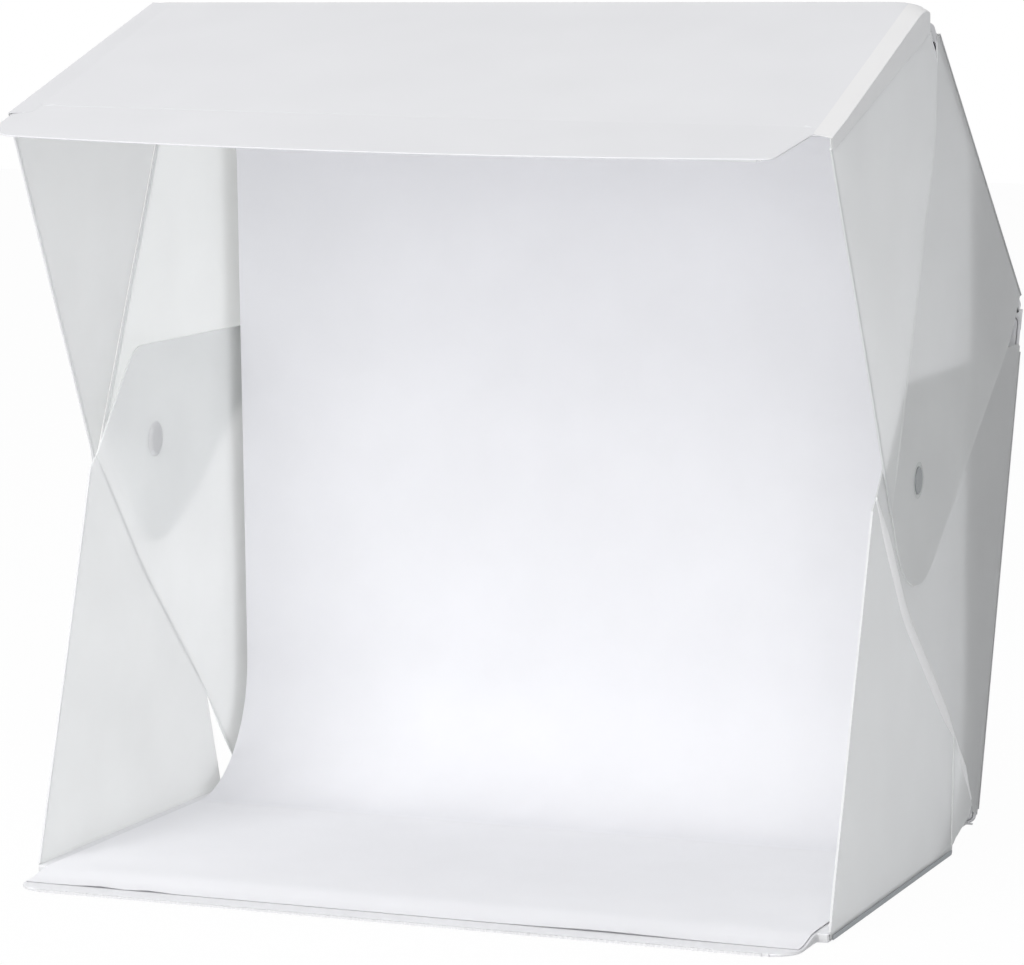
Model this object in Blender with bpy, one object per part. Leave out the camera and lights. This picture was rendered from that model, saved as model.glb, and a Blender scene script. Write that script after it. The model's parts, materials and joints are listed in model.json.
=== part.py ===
"""Folding light tent cube for tabletop product photographs.

Four film-covered panels are hinged in a strip: a base, a lower back, an upper back and a sloping top.
Creased film side sheets close the flanks and hold together with small magnets, and a sweep of thin film
hangs inside. X runs to the right, Y to the back and Z up. The base stands on z = 0.
Every panel is modelled in the frame of its own hinge: local +Y runs away from the hinge along the panel
and local +Z points into the tent, so turning a hinge empty folds the tent.
"""
import math

import bmesh
import bpy
from mathutils import Matrix, Vector

MM = 0.001

# Overall sizes
WIDTH = 381 * MM              # over the outer faces of the side sheets
BASE_DEPTH = 215 * MM         # base from the front foot of the side sheets to its rear edge
BASE_LIP = 39 * MM            # base in front of the side sheets
TOP_DEPTH = 170 * MM          # top from its hinge to the front corner of the side sheets
TOP_LIP = 34 * MM             # top in front of the side sheets
TOP_BOW = 7 * MM              # rise of the curved front edge of the top
LOWER_LENGTH = 256 * MM       # lower back, hinge to hinge
UPPER_LENGTH = 242 * MM       # upper back, hinge to hinge
SPINE_WIDTH = 40 * MM         # film spine from the base to the hinge of the lower back
LOWER_LEAN = math.radians(74.4)
UPPER_LEAN = math.radians(142.8)
TOP_LEAN = math.radians(196.5)

# Film, boards and clearances
FILM = 0.8 * MM
BOARD = 1.8 * MM
GAP = 0.3 * MM                # between pieces that touch on the real tent
THIN = 0.5 * MM               # sweep film
TAPE = 0.4 * MM
PANEL = 2 * FILM + BOARD + 2 * GAP
HINGE_ROOM = 0.8 * MM         # from a closed-outside hinge axis to the outer faces
BOOK_ROOM = 2.2 * MM          # from a closed-inside hinge axis to the inner faces
BASE_ROOM = 3.5 * MM          # from the top of the base up to the hinge of the lower back
BEAD = 0.5 * MM               # radius of the film bead on each hinge axis
STRIP_WIDTH = 10 * MM         # hinge strip along a panel, from the hinge axis
STRIP_BEND = 3 * MM           # where it leaves the panel for the bead
BEAD_STEPS = 12
EDGE_START = BEAD + GAP       # where a panel starts beyond its hinge axis
SIDE_MARGIN = 0.3 * MM        # panel edge inside the outer faces of the side sheets

# Corners of the panels
LIP_INSET = 5 * MM            # each side of a front lip inside the side sheets
LIP_START = 2 * MM            # where the lip narrows, in front of the side sheets
LIP_RADIUS = 14 * MM
LIP_ROOT = 14 * MM            # film lip of the top: its root, behind the front of the side sheets
LIP_NOTCH = 9 * MM            # its right side stands in from this notch
NOTCH_BACK = 5.5 * MM         # notch behind the front of the side sheets
LIP_TAPER = 8 * MM            # and narrows by this much towards the front
LIP_TIP_RADIUS = 5 * MM
PANEL_RADIUS = 4 * MM
STEP_RADIUS = 1.5 * MM
BOW_STEPS = 12
ROUND_STEPS = 6
BOARD_INSET = 3 * MM          # board edge inside the outline of its panel

# Side sheets: the upper pair lies outside the lower pair
OUTER_FACE = WIDTH / 2
UPPER_INNER = OUTER_FACE - FILM
LOWER_OUTER = UPPER_INNER - GAP
LOWER_INNER = LOWER_OUTER - FILM
CREASE = 0.4 * MM             # width of a crease, measured along the depth
UPPER_VERTEX_DROP = 191 * MM  # front end of the upper crease, below the top
UPPER_VERTEX_SHARE = 0.643    # and its place along the top
RELIEF_START = 11 * MM        # first place of the upper film below the top hinge
RELIEF_DROP = 18 * MM         # along the upper back to the tip of the corner slit
RELIEF_REACH = 7 * MM         # and from the upper back to that tip
BEND_DROP = 38 * MM           # height over which the upper crease falls straight down
BEND_BACK = 2 * MM
BEND_RADIUS = 60 * MM
TIP_SHARE = 0.367             # corner of the upper tab along the upper back
TIP_REACH = 230 * MM          # and its distance from the upper back
TIP_RADIUS = 45 * MM
HEEL_START = 14 * MM          # lower end of the upper film on the upper back
HEEL_REACH = 24 * MM
HEEL_STEP = 3 * MM
HEEL_RADIUS = 12 * MM
LOWER_VERTEX_HEIGHT = 188 * MM
LOWER_VERTEX_SHARE = 0.28     # front end of the lower crease along the base
BLUNT_BACK = 6 * MM           # blunt front corner of the lower film, before the crease
BLUNT_DROP = 5 * MM
LOWER_BEND_SHARE = 0.537      # slight bend of the lower crease along the base
LOWER_BEND_HEIGHT = 127 * MM
LOWER_BEND_RADIUS = 120 * MM
HOLE_SHARES = {"left": 0.90, "right": 1.0}      # tip of the rear corner hole along the base
HOLE_HEIGHT = 56 * MM
HEEL_SHARES = {"left": 0.93, "right": 0.975}    # heel of the lower tab, along base and spine
HEEL_HEIGHTS = {"left": 10 * MM, "right": 21 * MM}
HOLE_FOOT = 1 * MM            # foot of the hole in front of the rear edge of the base
TAB_TOP = 18 * MM             # top of the lower tab below the middle hinge
TAB_SHARE = 0.70              # front corner of the lower tab along the lower back
TAB_REACH = 207 * MM
TAB_RADIUS = 20 * MM
TAB_FOOT = 5 * MM             # lower end of the tab on the lower back
SMALL_RADIUS = 3 * MM

# Magnets that close the sides, on one axis on each side
MAGNET_RADIUS = 6.3 * MM
MAGNET_THICK = 1.35 * MM
MAGNET_PROUD = 0.4 * MM       # upper magnet outside its film
MAGNET_FORWARD = 126 * MM     # in front of the hinge of the lower back
MAGNET_HEIGHT = 189 * MM

# Bands of film that carry the side sheets along the panel edges
BAND_WIDTH = 10 * MM
BAND_LEG = 2 * MM
BAND_END = 3 * MM
BAND_CUT = 5.5 * MM           # slant of the front end of the bands on the top

# Sweep
SWEEP_MARGIN = 7.5 * MM       # each side, inside the outer faces of the side sheets
SWEEP_HALF = OUTER_FACE - SWEEP_MARGIN
SWEEP_FRONT = 27 * MM         # in front of the foot of the side sheets
SWEEP_HEAD = 11 * MM          # first edge below the top hinge, along the upper back
SWEEP_BEND = 100 * MM         # along the upper back to the bend where the sweep hangs free
SWEEP_FOOT_BACK = 17.5 * MM   # where the hanging film would meet the floor, before the rear hinge
BEND_SWEEP_RADIUS = 28 * MM
FLOOR_SWEEP_RADIUS = 60 * MM
SWEEP_STEPS = 16
PAD_LENGTH = 22 * MM
PAD_WIDTH = 12 * MM
PAD_THICK = 1.2 * MM
PAD_SIDE = 60 * MM            # pad centre from the side edge of the sweep
SWEEP_CORNER = 6 * MM

# Light bar under the top
BAR_MARGIN = 30.5 * MM        # each end, inside the outer faces of the side sheets
BAR_HALF = OUTER_FACE - BAR_MARGIN
BAR_WIDTH = 14 * MM
BAR_HEIGHT = 6 * MM
BAR_WALL = 1.2 * MM
BAR_FRONT = 9 * MM            # front of the bar beyond the front corner of the side sheets
BAR_PAD = 0.8 * MM
BAR_PAD_LENGTH = 26 * MM
BAR_PAD_MARGIN = 40 * MM      # pad centre from the end of the channel
BAR_PAD_PLACE = BAR_HALF - BAR_PAD_MARGIN
CAP_THICK = 1.6 * MM
STRIP_THICK = 0.8 * MM
CHIP_COUNT = 24
CHIP_LENGTH = 3.5 * MM
CHIP_HEIGHT = 0.8 * MM
DIFFUSER_THICK = 1.0 * MM
INLET_WIDTH = 8 * MM
INLET_HEIGHT = 4.6 * MM
INLET_DEPTH = 6 * MM
INLET_MARGIN = 7 * MM         # inlet centre from the end of the channel
INLET_PLACE = BAR_HALF - INLET_MARGIN
INLET_BORE = 1.5 * MM
INLET_PIN = 0.5 * MM
BORE_DEPTH = 4.5 * MM

# Weld along the front of the base
WELD_DEPTH = 2.2 * MM
WELD_SETBACK = 1.2 * MM
WELD_PITCH = 6.5 * MM
WELD_NOTCH = 2.0 * MM

OVERRUN = 2 * MM
UPRIGHT = math.radians(90)
SHARP = math.radians(35)

# The strip of panels is centred on Y by its front and rear ends
BASE_TOP = PANEL
HINGE_Y = BASE_DEPTH + SPINE_WIDTH
HINGE_Z = BASE_TOP + BASE_ROOM


def turned(angle, along, inward):
    """(y, z) of a place given along a panel and into the tent."""
    return (along * math.cos(angle) - inward * math.sin(angle),
            along * math.sin(angle) + inward * math.cos(angle))


def placed(frame, along, inward):
    """A place in a panel's frame (y, z, angle), in the frame of the base."""
    y, z = turned(frame[2], along, inward)
    return frame[0] + y, frame[1] + z


def seen_from(frame, place):
    """The same the other way round: a place of the base's frame along a panel and into the tent."""
    return turned(-frame[2], place[0] - frame[0], place[1] - frame[1])


BASE_FRAME = (0, 0, 0)
LOWER_FRAME = (HINGE_Y, HINGE_Z, LOWER_LEAN)
LOWER_END = (LOWER_LENGTH, -(BOOK_ROOM + PANEL + HINGE_ROOM))
UPPER_FRAME = (*placed(LOWER_FRAME, *LOWER_END), UPPER_LEAN)
UPPER_END = (UPPER_LENGTH, HINGE_ROOM + PANEL + BOOK_ROOM)
TOP_FRAME = (*placed(UPPER_FRAME, *UPPER_END), TOP_LEAN)
FRONT_Y = placed(TOP_FRAME, TOP_DEPTH + TOP_LIP, -(BOOK_ROOM + PANEL))[0]
REAR_Y = UPPER_FRAME[0] + BEAD
MIDDLE_Y = (FRONT_Y + REAR_Y) / 2

# Where the two backs start beyond the middle hinge, clear of each other inside the bend
MIDDLE_HALF = (math.pi - (UPPER_LEAN - LOWER_LEAN)) / 2
MIDDLE_START = max(EDGE_START, (HINGE_ROOM + PANEL) / math.tan(MIDDLE_HALF) + GAP)

# Inner faces of the panels, in their own frames
LOWER_FACE = -BOOK_ROOM
UPPER_FACE = HINGE_ROOM + PANEL
TOP_FACE = -BOOK_ROOM

# Ends of the creases, in the frame of the base
UPPER_VERTEX = placed(TOP_FRAME, UPPER_VERTEX_SHARE * TOP_DEPTH, UPPER_VERTEX_DROP)
SLIT_TIP = placed(UPPER_FRAME, UPPER_LENGTH - RELIEF_DROP, UPPER_FACE + RELIEF_REACH)
CREASE_BEND = (SLIT_TIP[0] - BEND_BACK, SLIT_TIP[1] - BEND_DROP)
LOWER_VERTEX = (LOWER_VERTEX_SHARE * BASE_DEPTH, LOWER_VERTEX_HEIGHT)
LOWER_BEND = (LOWER_BEND_SHARE * BASE_DEPTH, LOWER_BEND_HEIGHT)
MAGNET_PLACE = (HINGE_Y - MAGNET_FORWARD, MAGNET_HEIGHT)


def trace(corners, steps=ROUND_STEPS):
    """Points of an outline given as (x, y, radius) corners. A corner with no radius is one point."""
    points = []
    for n, (x, y, radius) in enumerate(corners):
        here = Vector((x, y))
        if radius == 0:
            points.append(tuple(here))
            continue
        before = (Vector(corners[n - 1][:2]) - here).normalized()
        after = (Vector(corners[(n + 1) % len(corners)][:2]) - here).normalized()
        half = before.angle(after) / 2
        centre = here + (before + after).normalized() * radius / math.sin(half)
        first = here + before * radius / math.tan(half) - centre
        turn = first.angle_signed(here + after * radius / math.tan(half) - centre)
        for k in range(steps + 1):
            spin = Matrix.Rotation(-turn * k / steps, 2)
            points.append(tuple(centre + spin @ first))
    return points


def inset(corners, depth):
    """The same corners drawn in by one depth all round, for an outline that runs anticlockwise."""
    found = []
    for n, (x, y, radius) in enumerate(corners):
        here = Vector((x, y))
        before = (here - Vector(corners[n - 1][:2])).normalized()
        after = (Vector(corners[(n + 1) % len(corners)][:2]) - here).normalized()
        one, two = Vector((-before.y, before.x)), Vector((-after.y, after.x))
        here = here + (one + two) * depth / (1 + one.dot(two))
        bulges = before.cross(after) > 0
        change = -depth if bulges else depth
        found.append((here.x, here.y, 0 if radius == 0 else max(radius + change, radius / ROUND_STEPS)))
    return found


def material(name, colour, roughness, metallic=0.0):
    found = bpy.data.materials.get(name)
    if found is None:
        found = bpy.data.materials.new(name)
        found.use_nodes = True
        shader = found.node_tree.nodes["Principled BSDF"]
        shader.inputs["Base Color"].default_value = (*colour, 1.0)
        shader.inputs["Roughness"].default_value = roughness
        shader.inputs["Metallic"].default_value = metallic
    return found


def sub_part(name, shape, parent, look, at=(0, 0, 0), smooth=False):
    """Turn a bmesh into a named object that hangs on the empty of its panel."""
    bmesh.ops.recalc_face_normals(shape, faces=shape.faces)
    mesh = bpy.data.meshes.new(name)
    shape.to_mesh(mesh)
    shape.free()
    mesh.materials.append(material(name, *look))
    if smooth:
        mesh.shade_smooth()
        mesh.set_sharp_from_angle(angle=SHARP)
    part = bpy.data.objects.new(name, mesh)
    bpy.context.scene.collection.objects.link(part)
    part.parent = parent
    part.location = at
    return part


def skinned(loops):
    """A closed solid from rings of points that follow each other, capped at both ends."""
    shape = bmesh.new()
    rings = [[shape.verts.new(p) for p in loop] for loop in loops]
    for low, high in zip(rings, rings[1:]):
        for n in range(len(low)):
            m = (n + 1) % len(low)
            shape.faces.new((low[n], low[m], high[m], high[n]))
    shape.faces.new(list(reversed(rings[0])))
    shape.faces.new(rings[-1])
    return shape


def flat_plate(points, low, high):
    """A sheet in the plane of its panel: outline in X and along the panel."""
    return skinned([[(x, y, z) for x, y in points] for z in (low, high)])


def side_plate(points, low, high):
    """An upright sheet: outline along the panel and into the tent, thick in X."""
    return skinned([[(x, y, z) for y, z in points] for x in (low, high)])


def tray(corners, outer, floor, rim):
    """A skin with its edge turned over: a flat outer face and a wall all round up to the rim."""
    outline, inner = trace(corners), trace(inset(corners, FILM))
    loops = [(outline, outer), (outline, rim), (inner, rim), (inner, floor)]
    return skinned([[(x, y, z) for x, y in line] for line, z in loops])


def ribbon(path, thick):
    """Outline of a film of one thickness along a path of (y, z) points."""
    above, below = [], []
    for n, place in enumerate(path):
        here = Vector(place)
        ahead = Vector(path[min(n + 1, len(path) - 1)]) - Vector(path[max(n - 1, 0)])
        side = Vector((-ahead.y, ahead.x)).normalized() * thick / 2
        above.append(tuple(here + side))
        below.append(tuple(here - side))
    return above + below[::-1]


def bend_path(corners, steps):
    """An open path whose inner corners are rounded."""
    path = [corners[0][:2]]
    for n in range(1, len(corners) - 1):
        leg = corners[n - 1:n + 2]
        path += trace(leg, steps)[1:-1] if leg[0][2] == leg[2][2] == 0 else trace(
            [(*leg[0][:2], 0), leg[1], (*leg[2][:2], 0)], steps)[1:-1]
    return path + [corners[-1][:2]]


def pivot(name, parent, at, turn):
    """An empty on a hinge axis. Turning it about X folds the panel that hangs on it."""
    empty = bpy.data.objects.new(name, None)
    bpy.context.scene.collection.objects.link(empty)
    empty.parent = parent
    empty.location = at
    empty.rotation_euler = (turn, 0, 0)
    return empty


def hinge_bead(name, parent, at, half, look):
    """Round film bead along a hinge axis."""
    shape = bmesh.new()
    turn = Matrix.Rotation(UPRIGHT, 4, "Y")
    bmesh.ops.create_cone(shape, cap_ends=True, segments=BEAD_STEPS, radius1=BEAD, radius2=BEAD,
                          depth=2 * half, matrix=turn)
    return sub_part(name, shape, parent, look, at, smooth=True)


def hinge_strip(name, parent, at, half, rise, look):
    """Film strip welded along a panel, with a round bead on the hinge axis. The strip lies at one rise
    from the axis."""
    towards = Vector((-STRIP_BEND, rise)).normalized()
    opening = math.asin(TAPE / 2 / BEAD)
    line = [(-STRIP_WIDTH, rise), (-STRIP_BEND, rise), tuple(towards * BEAD * math.cos(opening))]
    outline = ribbon(line, TAPE)
    first = math.atan2(towards.y, towards.x) - opening
    round_part = []
    for k in range(1, BEAD_STEPS):
        angle = first - 2 * (math.pi - opening) * k / BEAD_STEPS
        round_part.append((BEAD * math.cos(angle), BEAD * math.sin(angle)))
    points = outline[:len(line)] + round_part + outline[len(line):]
    return sub_part(name, side_plate(points, -half, half), parent, look, at, smooth=True)


def panel_corners(half, start, end):
    """A plain panel between two hinges, anticlockwise."""
    return [(-half, start, PANEL_RADIUS), (half, start, PANEL_RADIUS),
            (half, end, PANEL_RADIUS), (-half, end, PANEL_RADIUS)]


def lip_corners(half, start, shoulder, end):
    """The base: a panel with a slightly narrower lip in front of the side sheets."""
    lip = half - LIP_INSET
    left = [(-half, start, PANEL_RADIUS), (-half, shoulder, STEP_RADIUS), (-lip, shoulder, STEP_RADIUS),
            (-lip, end, LIP_RADIUS)]
    return left + [(-x, y, radius) for x, y, radius in reversed(left)]


def top_lip_corners(half):
    """Film lip of the top, with a bowed front edge. Its right side stands in from a notch."""
    root, notch = TOP_DEPTH - LIP_ROOT + GAP, TOP_DEPTH - NOTCH_BACK
    end, right = TOP_DEPTH + TOP_LIP - TOP_BOW, half - LIP_NOTCH
    tip = right - LIP_TAPER
    edge = []
    for k in range(1, BOW_STEPS):
        share = k / BOW_STEPS
        edge.append((tip - (tip + half) * share, end + TOP_BOW * 4 * share * (1 - share), 0))
    return ([(-half, root, 0), (half, root, 0), (half, notch, STEP_RADIUS), (right, notch, STEP_RADIUS),
             (tip, end, LIP_TIP_RADIUS)] + edge + [(-half, end, LIP_RADIUS)])


def covered_panel(name, parent, corners, outer, look_skin, look_board, look_liner):
    """Skin with turned edge, board and liner, from the outer face inwards."""
    floor = outer + FILM
    rim = outer + PANEL
    sub_part(name + "_skin", tray(corners, outer, floor, rim), parent, look_skin)
    board = trace(inset(corners, BOARD_INSET))
    sub_part(name + "_board", flat_plate(board, floor + GAP, floor + GAP + BOARD), parent, look_board)
    liner = trace(inset(corners, FILM + GAP))
    sub_part(name + "_liner", flat_plate(liner, rim - FILM, rim), parent, look_liner)


WHITE = ((0.80, 0.80, 0.83), 0.45)
LINER = ((0.84, 0.84, 0.87), 0.55)
PAPER = ((0.72, 0.71, 0.68), 0.8)
FROST = ((0.76, 0.77, 0.79), 0.4)
BANDS = ((0.78, 0.79, 0.78), 0.35)
SWEEP = ((0.87, 0.87, 0.91), 0.6)
STEEL = ((0.42, 0.43, 0.45), 0.35, 1.0)
ALLOY = ((0.78, 0.79, 0.80), 0.4, 1.0)
BLACK = ((0.03, 0.03, 0.03), 0.5)
GREY = ((0.35, 0.35, 0.36), 0.9)
MILKY = ((0.88, 0.88, 0.87), 0.4)
GREEN_WHITE = ((0.80, 0.82, 0.78), 0.5)


def make_base(base):
    """Two film sheets around a board, welded along the front, and the spine behind."""
    half = LOWER_OUTER - SIDE_MARGIN
    corners = lip_corners(half, BASE_DEPTH, -LIP_START, -BASE_LIP)
    sub_part("base_sheet_lower", flat_plate(trace(corners), 0, FILM), base, WHITE)
    board = trace(inset(corners, BOARD_INSET + WELD_DEPTH))
    sub_part("base_board", flat_plate(board, FILM + GAP, FILM + GAP + BOARD), base, PAPER)
    sub_part("base_sheet_upper", flat_plate(trace(corners), PANEL - FILM, PANEL), base, WHITE)
    make_weld(base, half - LIP_INSET - LIP_RADIUS)
    make_spine(base, half)
    hinge_bead("spine_hinge_bead", base, (0, HINGE_Y, HINGE_Z), half, FROST)


def make_weld(base, half):
    """A row of weld marks between the two sheets, just behind the front edge of the lip."""
    count = max(2, int(2 * half / WELD_PITCH))
    pitch = 2 * half / count
    front = -BASE_LIP + WELD_SETBACK
    points = [(half, front + WELD_DEPTH), (-half, front + WELD_DEPTH)]
    for k in range(count):
        left = -half + k * pitch
        notch = min(WELD_NOTCH, pitch / 2)
        points += [(left, front), (left + pitch - notch, front),
                   (left + pitch - notch, front + WELD_DEPTH / 2), (left + pitch, front + WELD_DEPTH / 2)]
    shape = flat_plate(points, FILM + GAP, PANEL - FILM - GAP)
    sub_part("base_front_weld", shape, base, FROST)


def make_spine(base, half):
    """Film that leaves the rear edge of the base and rises to the hinge of the lower back."""
    start = BASE_DEPTH + GAP
    end = HINGE_Y - EDGE_START
    low, high = PANEL / 2, HINGE_Z
    rise = SPINE_WIDTH / 3
    corners = [(start, low, 0), (start + rise, low, rise), (end - rise, high, rise), (end, high, 0)]
    points = ribbon(bend_path(corners, ROUND_STEPS), FILM)
    reach = half - BAND_END
    sub_part("spine_film", side_plate(points, -reach, reach), base, FROST, smooth=True)


def make_lower_back(lower):
    half = LOWER_OUTER - SIDE_MARGIN
    outer = LOWER_FACE - PANEL
    corners = panel_corners(half, EDGE_START, LOWER_LENGTH - MIDDLE_START)
    covered_panel("lower_back", lower, corners, outer, WHITE, PAPER, LINER)
    hinge_strip("middle_hinge_strip", lower, (0, *LOWER_END), half, HINGE_ROOM - GAP - TAPE / 2, FROST)


def make_upper_back(upper):
    half = UPPER_INNER
    corners = panel_corners(half, MIDDLE_START, UPPER_LENGTH - EDGE_START)
    covered_panel("upper_back", upper, corners, UPPER_FACE - PANEL, WHITE, PAPER, LINER)
    rise = GAP + TAPE / 2 - BOOK_ROOM
    hinge_strip("top_hinge_strip", upper, (0, *UPPER_END), half - SIDE_MARGIN, rise, FROST)


def make_top(top):
    """Covered panel that ends short of the front, where its outer film runs on as a thin lip."""
    half = UPPER_INNER
    corners = panel_corners(half, EDGE_START, TOP_DEPTH - LIP_ROOT)
    covered_panel("top", top, corners, TOP_FACE - PANEL, WHITE, PAPER, LINER)
    lip = flat_plate(trace(top_lip_corners(half)), TOP_FACE - PANEL, TOP_FACE - PANEL + FILM)
    sub_part("top_lip", lip, top, WHITE)


def crease_line(shift):
    """The upper crease from the slit to the front, moved along the depth by a shift."""
    return [(SLIT_TIP[0] + shift, SLIT_TIP[1], 0), (CREASE_BEND[0] + shift, CREASE_BEND[1], BEND_RADIUS),
            (UPPER_VERTEX[0] + shift, UPPER_VERTEX[1], 0)]


def film(name, parent, frame, axis_inward, inner, corners, side, look):
    """A side sheet from corners in the frame of the base. Its origin is on its hinge axis."""
    local = [(*seen_from(frame, (y, z)), radius) for y, z, radius in corners]
    points = [(y, z - axis_inward) for y, z in trace(local)]
    low, high = (0, FILM) if side > 0 else (-FILM, 0)
    return sub_part(name, side_plate(points, low, high), parent, look, (side * inner, 0, axis_inward))


def on_panel(frame, along, inward):
    """A corner of a side sheet that lies on its panel."""
    return (*placed(frame, along, inward), 0)


def upper_front_film(side, word, top):
    """Triangle that hangs from the side edge of the top, in front of the upper crease."""
    axis = TOP_FACE + GAP
    vertex = (UPPER_VERTEX[0] - CREASE / 2, UPPER_VERTEX[1], 0)
    corners = [on_panel(TOP_FRAME, EDGE_START + BAND_END, axis), on_panel(TOP_FRAME, TOP_DEPTH, axis), vertex]
    corners += crease_line(-CREASE / 2)[1::-1]
    return film("upper_front_film_" + word, top, TOP_FRAME, axis, UPPER_INNER, corners, side, FROST)


def upper_rear_film(side, word, upper):
    """Tab behind the upper crease, hinged on the upper back, with a rounded end."""
    axis = UPPER_FACE + GAP
    heel = placed(UPPER_FRAME, HEEL_START + HEEL_STEP, UPPER_FACE + HEEL_REACH)
    tip = placed(UPPER_FRAME, TIP_SHARE * UPPER_LENGTH, TIP_REACH)
    corners = [on_panel(UPPER_FRAME, UPPER_LENGTH - RELIEF_START, axis)] + crease_line(CREASE / 2)
    corners += [(*tip, TIP_RADIUS), (*heel, HEEL_RADIUS), on_panel(UPPER_FRAME, HEEL_START, axis)]
    return film("upper_rear_film_" + word, upper, UPPER_FRAME, axis, UPPER_INNER, corners, side, FROST)


def lower_front_film(side, word, base):
    """Triangle that stands on the side edge of the base, in front of the lower crease."""
    axis = BASE_TOP + GAP
    foot = BASE_DEPTH - HOLE_FOOT
    tip = HOLE_SHARES[word] * BASE_DEPTH
    blunt = (LOWER_VERTEX[0] - BLUNT_BACK, LOWER_VERTEX[1] - BLUNT_DROP, SMALL_RADIUS)
    corners = [(0, axis, 0), (foot, axis, 0), (tip - CREASE / 2, HOLE_HEIGHT, 0),
               (LOWER_BEND[0] - CREASE / 2, LOWER_BEND[1], LOWER_BEND_RADIUS),
               (LOWER_VERTEX[0] - CREASE / 2, LOWER_VERTEX[1], 0), blunt]
    return film("lower_front_film_" + word, base, BASE_FRAME, axis, LOWER_INNER, corners, side, FROST)


def lower_rear_film(side, word, lower):
    """Tab behind the lower crease, hinged on the lower back, inside the upper tab."""
    axis = LOWER_FACE + GAP
    corner = placed(LOWER_FRAME, TAB_SHARE * LOWER_LENGTH, TAB_REACH)
    corners = [on_panel(LOWER_FRAME, TAB_FOOT, axis), on_panel(LOWER_FRAME, LOWER_LENGTH - TAB_TOP, axis),
               (*corner, TAB_RADIUS), (LOWER_VERTEX[0] + CREASE / 2, LOWER_VERTEX[1], 0),
               (LOWER_BEND[0] + CREASE / 2, LOWER_BEND[1], LOWER_BEND_RADIUS),
               (HOLE_SHARES[word] * BASE_DEPTH + CREASE / 2, HOLE_HEIGHT, 0),
               (HEEL_SHARES[word] * HINGE_Y, HEEL_HEIGHTS[word], 0)]
    return film("lower_rear_film_" + word, lower, LOWER_FRAME, axis, LOWER_INNER, corners, side, FROST)


def pocket(part, frame, axis_inward):
    """Cut the round opening of a magnet through a side sheet."""
    along, inward = seen_from(frame, MAGNET_PLACE)
    shape = bmesh.new()
    turn = Matrix.Translation((0, along, inward - axis_inward)) @ Matrix.Rotation(UPRIGHT, 4, "Y")
    bmesh.ops.create_cone(shape, cap_ends=True, segments=24, radius1=MAGNET_RADIUS + GAP,
                          radius2=MAGNET_RADIUS + GAP, depth=2 * (FILM + OVERRUN), matrix=turn)
    cutter = sub_part("cut_" + part.name, shape, part.parent, FROST, part.location)
    cutter.hide_render = True
    cutter.display_type = "WIRE"
    cut = part.modifiers.new("magnet opening", "BOOLEAN")
    cut.operation = "DIFFERENCE"
    cut.solver = "EXACT"
    cut.object = cutter


def magnet(name, parent, frame, low, side):
    """A disc magnet set in its film, at the common magnet place."""
    along, inward = seen_from(frame, MAGNET_PLACE)
    shape = bmesh.new()
    bmesh.ops.create_cone(shape, cap_ends=True, segments=24, radius1=MAGNET_RADIUS,
                          radius2=MAGNET_RADIUS, depth=MAGNET_THICK, matrix=Matrix.Rotation(UPRIGHT, 4, "Y"))
    middle = side * (low + MAGNET_THICK / 2)
    return sub_part(name, shape, parent, STEEL, (middle, along, inward), smooth=True)


def band(name, parent, start, end, outer, edge, inner_face, side, cut=0):
    """Film band welded over a panel edge: flat on the outer face, with a short leg down the side sheet.
    Its front end may be cut on a slant."""
    far = edge + GAP + TAPE
    low = outer - GAP - TAPE
    leg = inner_face + BAND_LEG
    points = [(far - BAND_WIDTH, low), (far, low), (far, leg), (far - TAPE, leg), (far - TAPE, low + TAPE),
              (far - BAND_WIDTH, low + TAPE)]
    first = [(side * x, start, z) for x, z in points]
    last = [(side * x, end - cut * (far - x) / BAND_WIDTH, z) for x, z in points]
    return sub_part(name, skinned([first, last]), parent, BANDS)


def make_side(side, word, base, lower, upper, top):
    """The films, magnets and bands of one flank."""
    upper_front_film(side, word, top)
    lower_front_film(side, word, base)
    pocket(upper_rear_film(side, word, upper), UPPER_FRAME, UPPER_FACE + GAP)
    pocket(lower_rear_film(side, word, lower), LOWER_FRAME, LOWER_FACE + GAP)
    outside = OUTER_FACE + MAGNET_PROUD - MAGNET_THICK
    magnet("upper_magnet_" + word, upper, UPPER_FRAME, outside, side)
    magnet("lower_magnet_" + word, lower, LOWER_FRAME, outside - GAP - MAGNET_THICK, side)
    band("top_band_" + word, top, EDGE_START + BAND_END, TOP_DEPTH, TOP_FACE - PANEL, OUTER_FACE,
         TOP_FACE, side, BAND_CUT)
    band("upper_back_band_" + word, upper, HEEL_START, UPPER_LENGTH - RELIEF_START, UPPER_FACE - PANEL,
         OUTER_FACE, UPPER_FACE, side)
    band("lower_back_band_" + word, lower, TAB_FOOT + BAND_END, LOWER_LENGTH - TAB_TOP - BAND_END,
         LOWER_FACE - PANEL, LOWER_OUTER, LOWER_FACE, side)
    points = [(BAND_END, GAP), (BASE_DEPTH - BAND_END, GAP), (BASE_DEPTH - BAND_END, PANEL + BAND_LEG),
              (BAND_END, PANEL + BAND_LEG)]
    near, far = sorted((side * (LOWER_OUTER + GAP), side * (LOWER_OUTER + GAP + TAPE)))
    sub_part("base_band_" + word, side_plate(points, near, far), base, BANDS)


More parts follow.
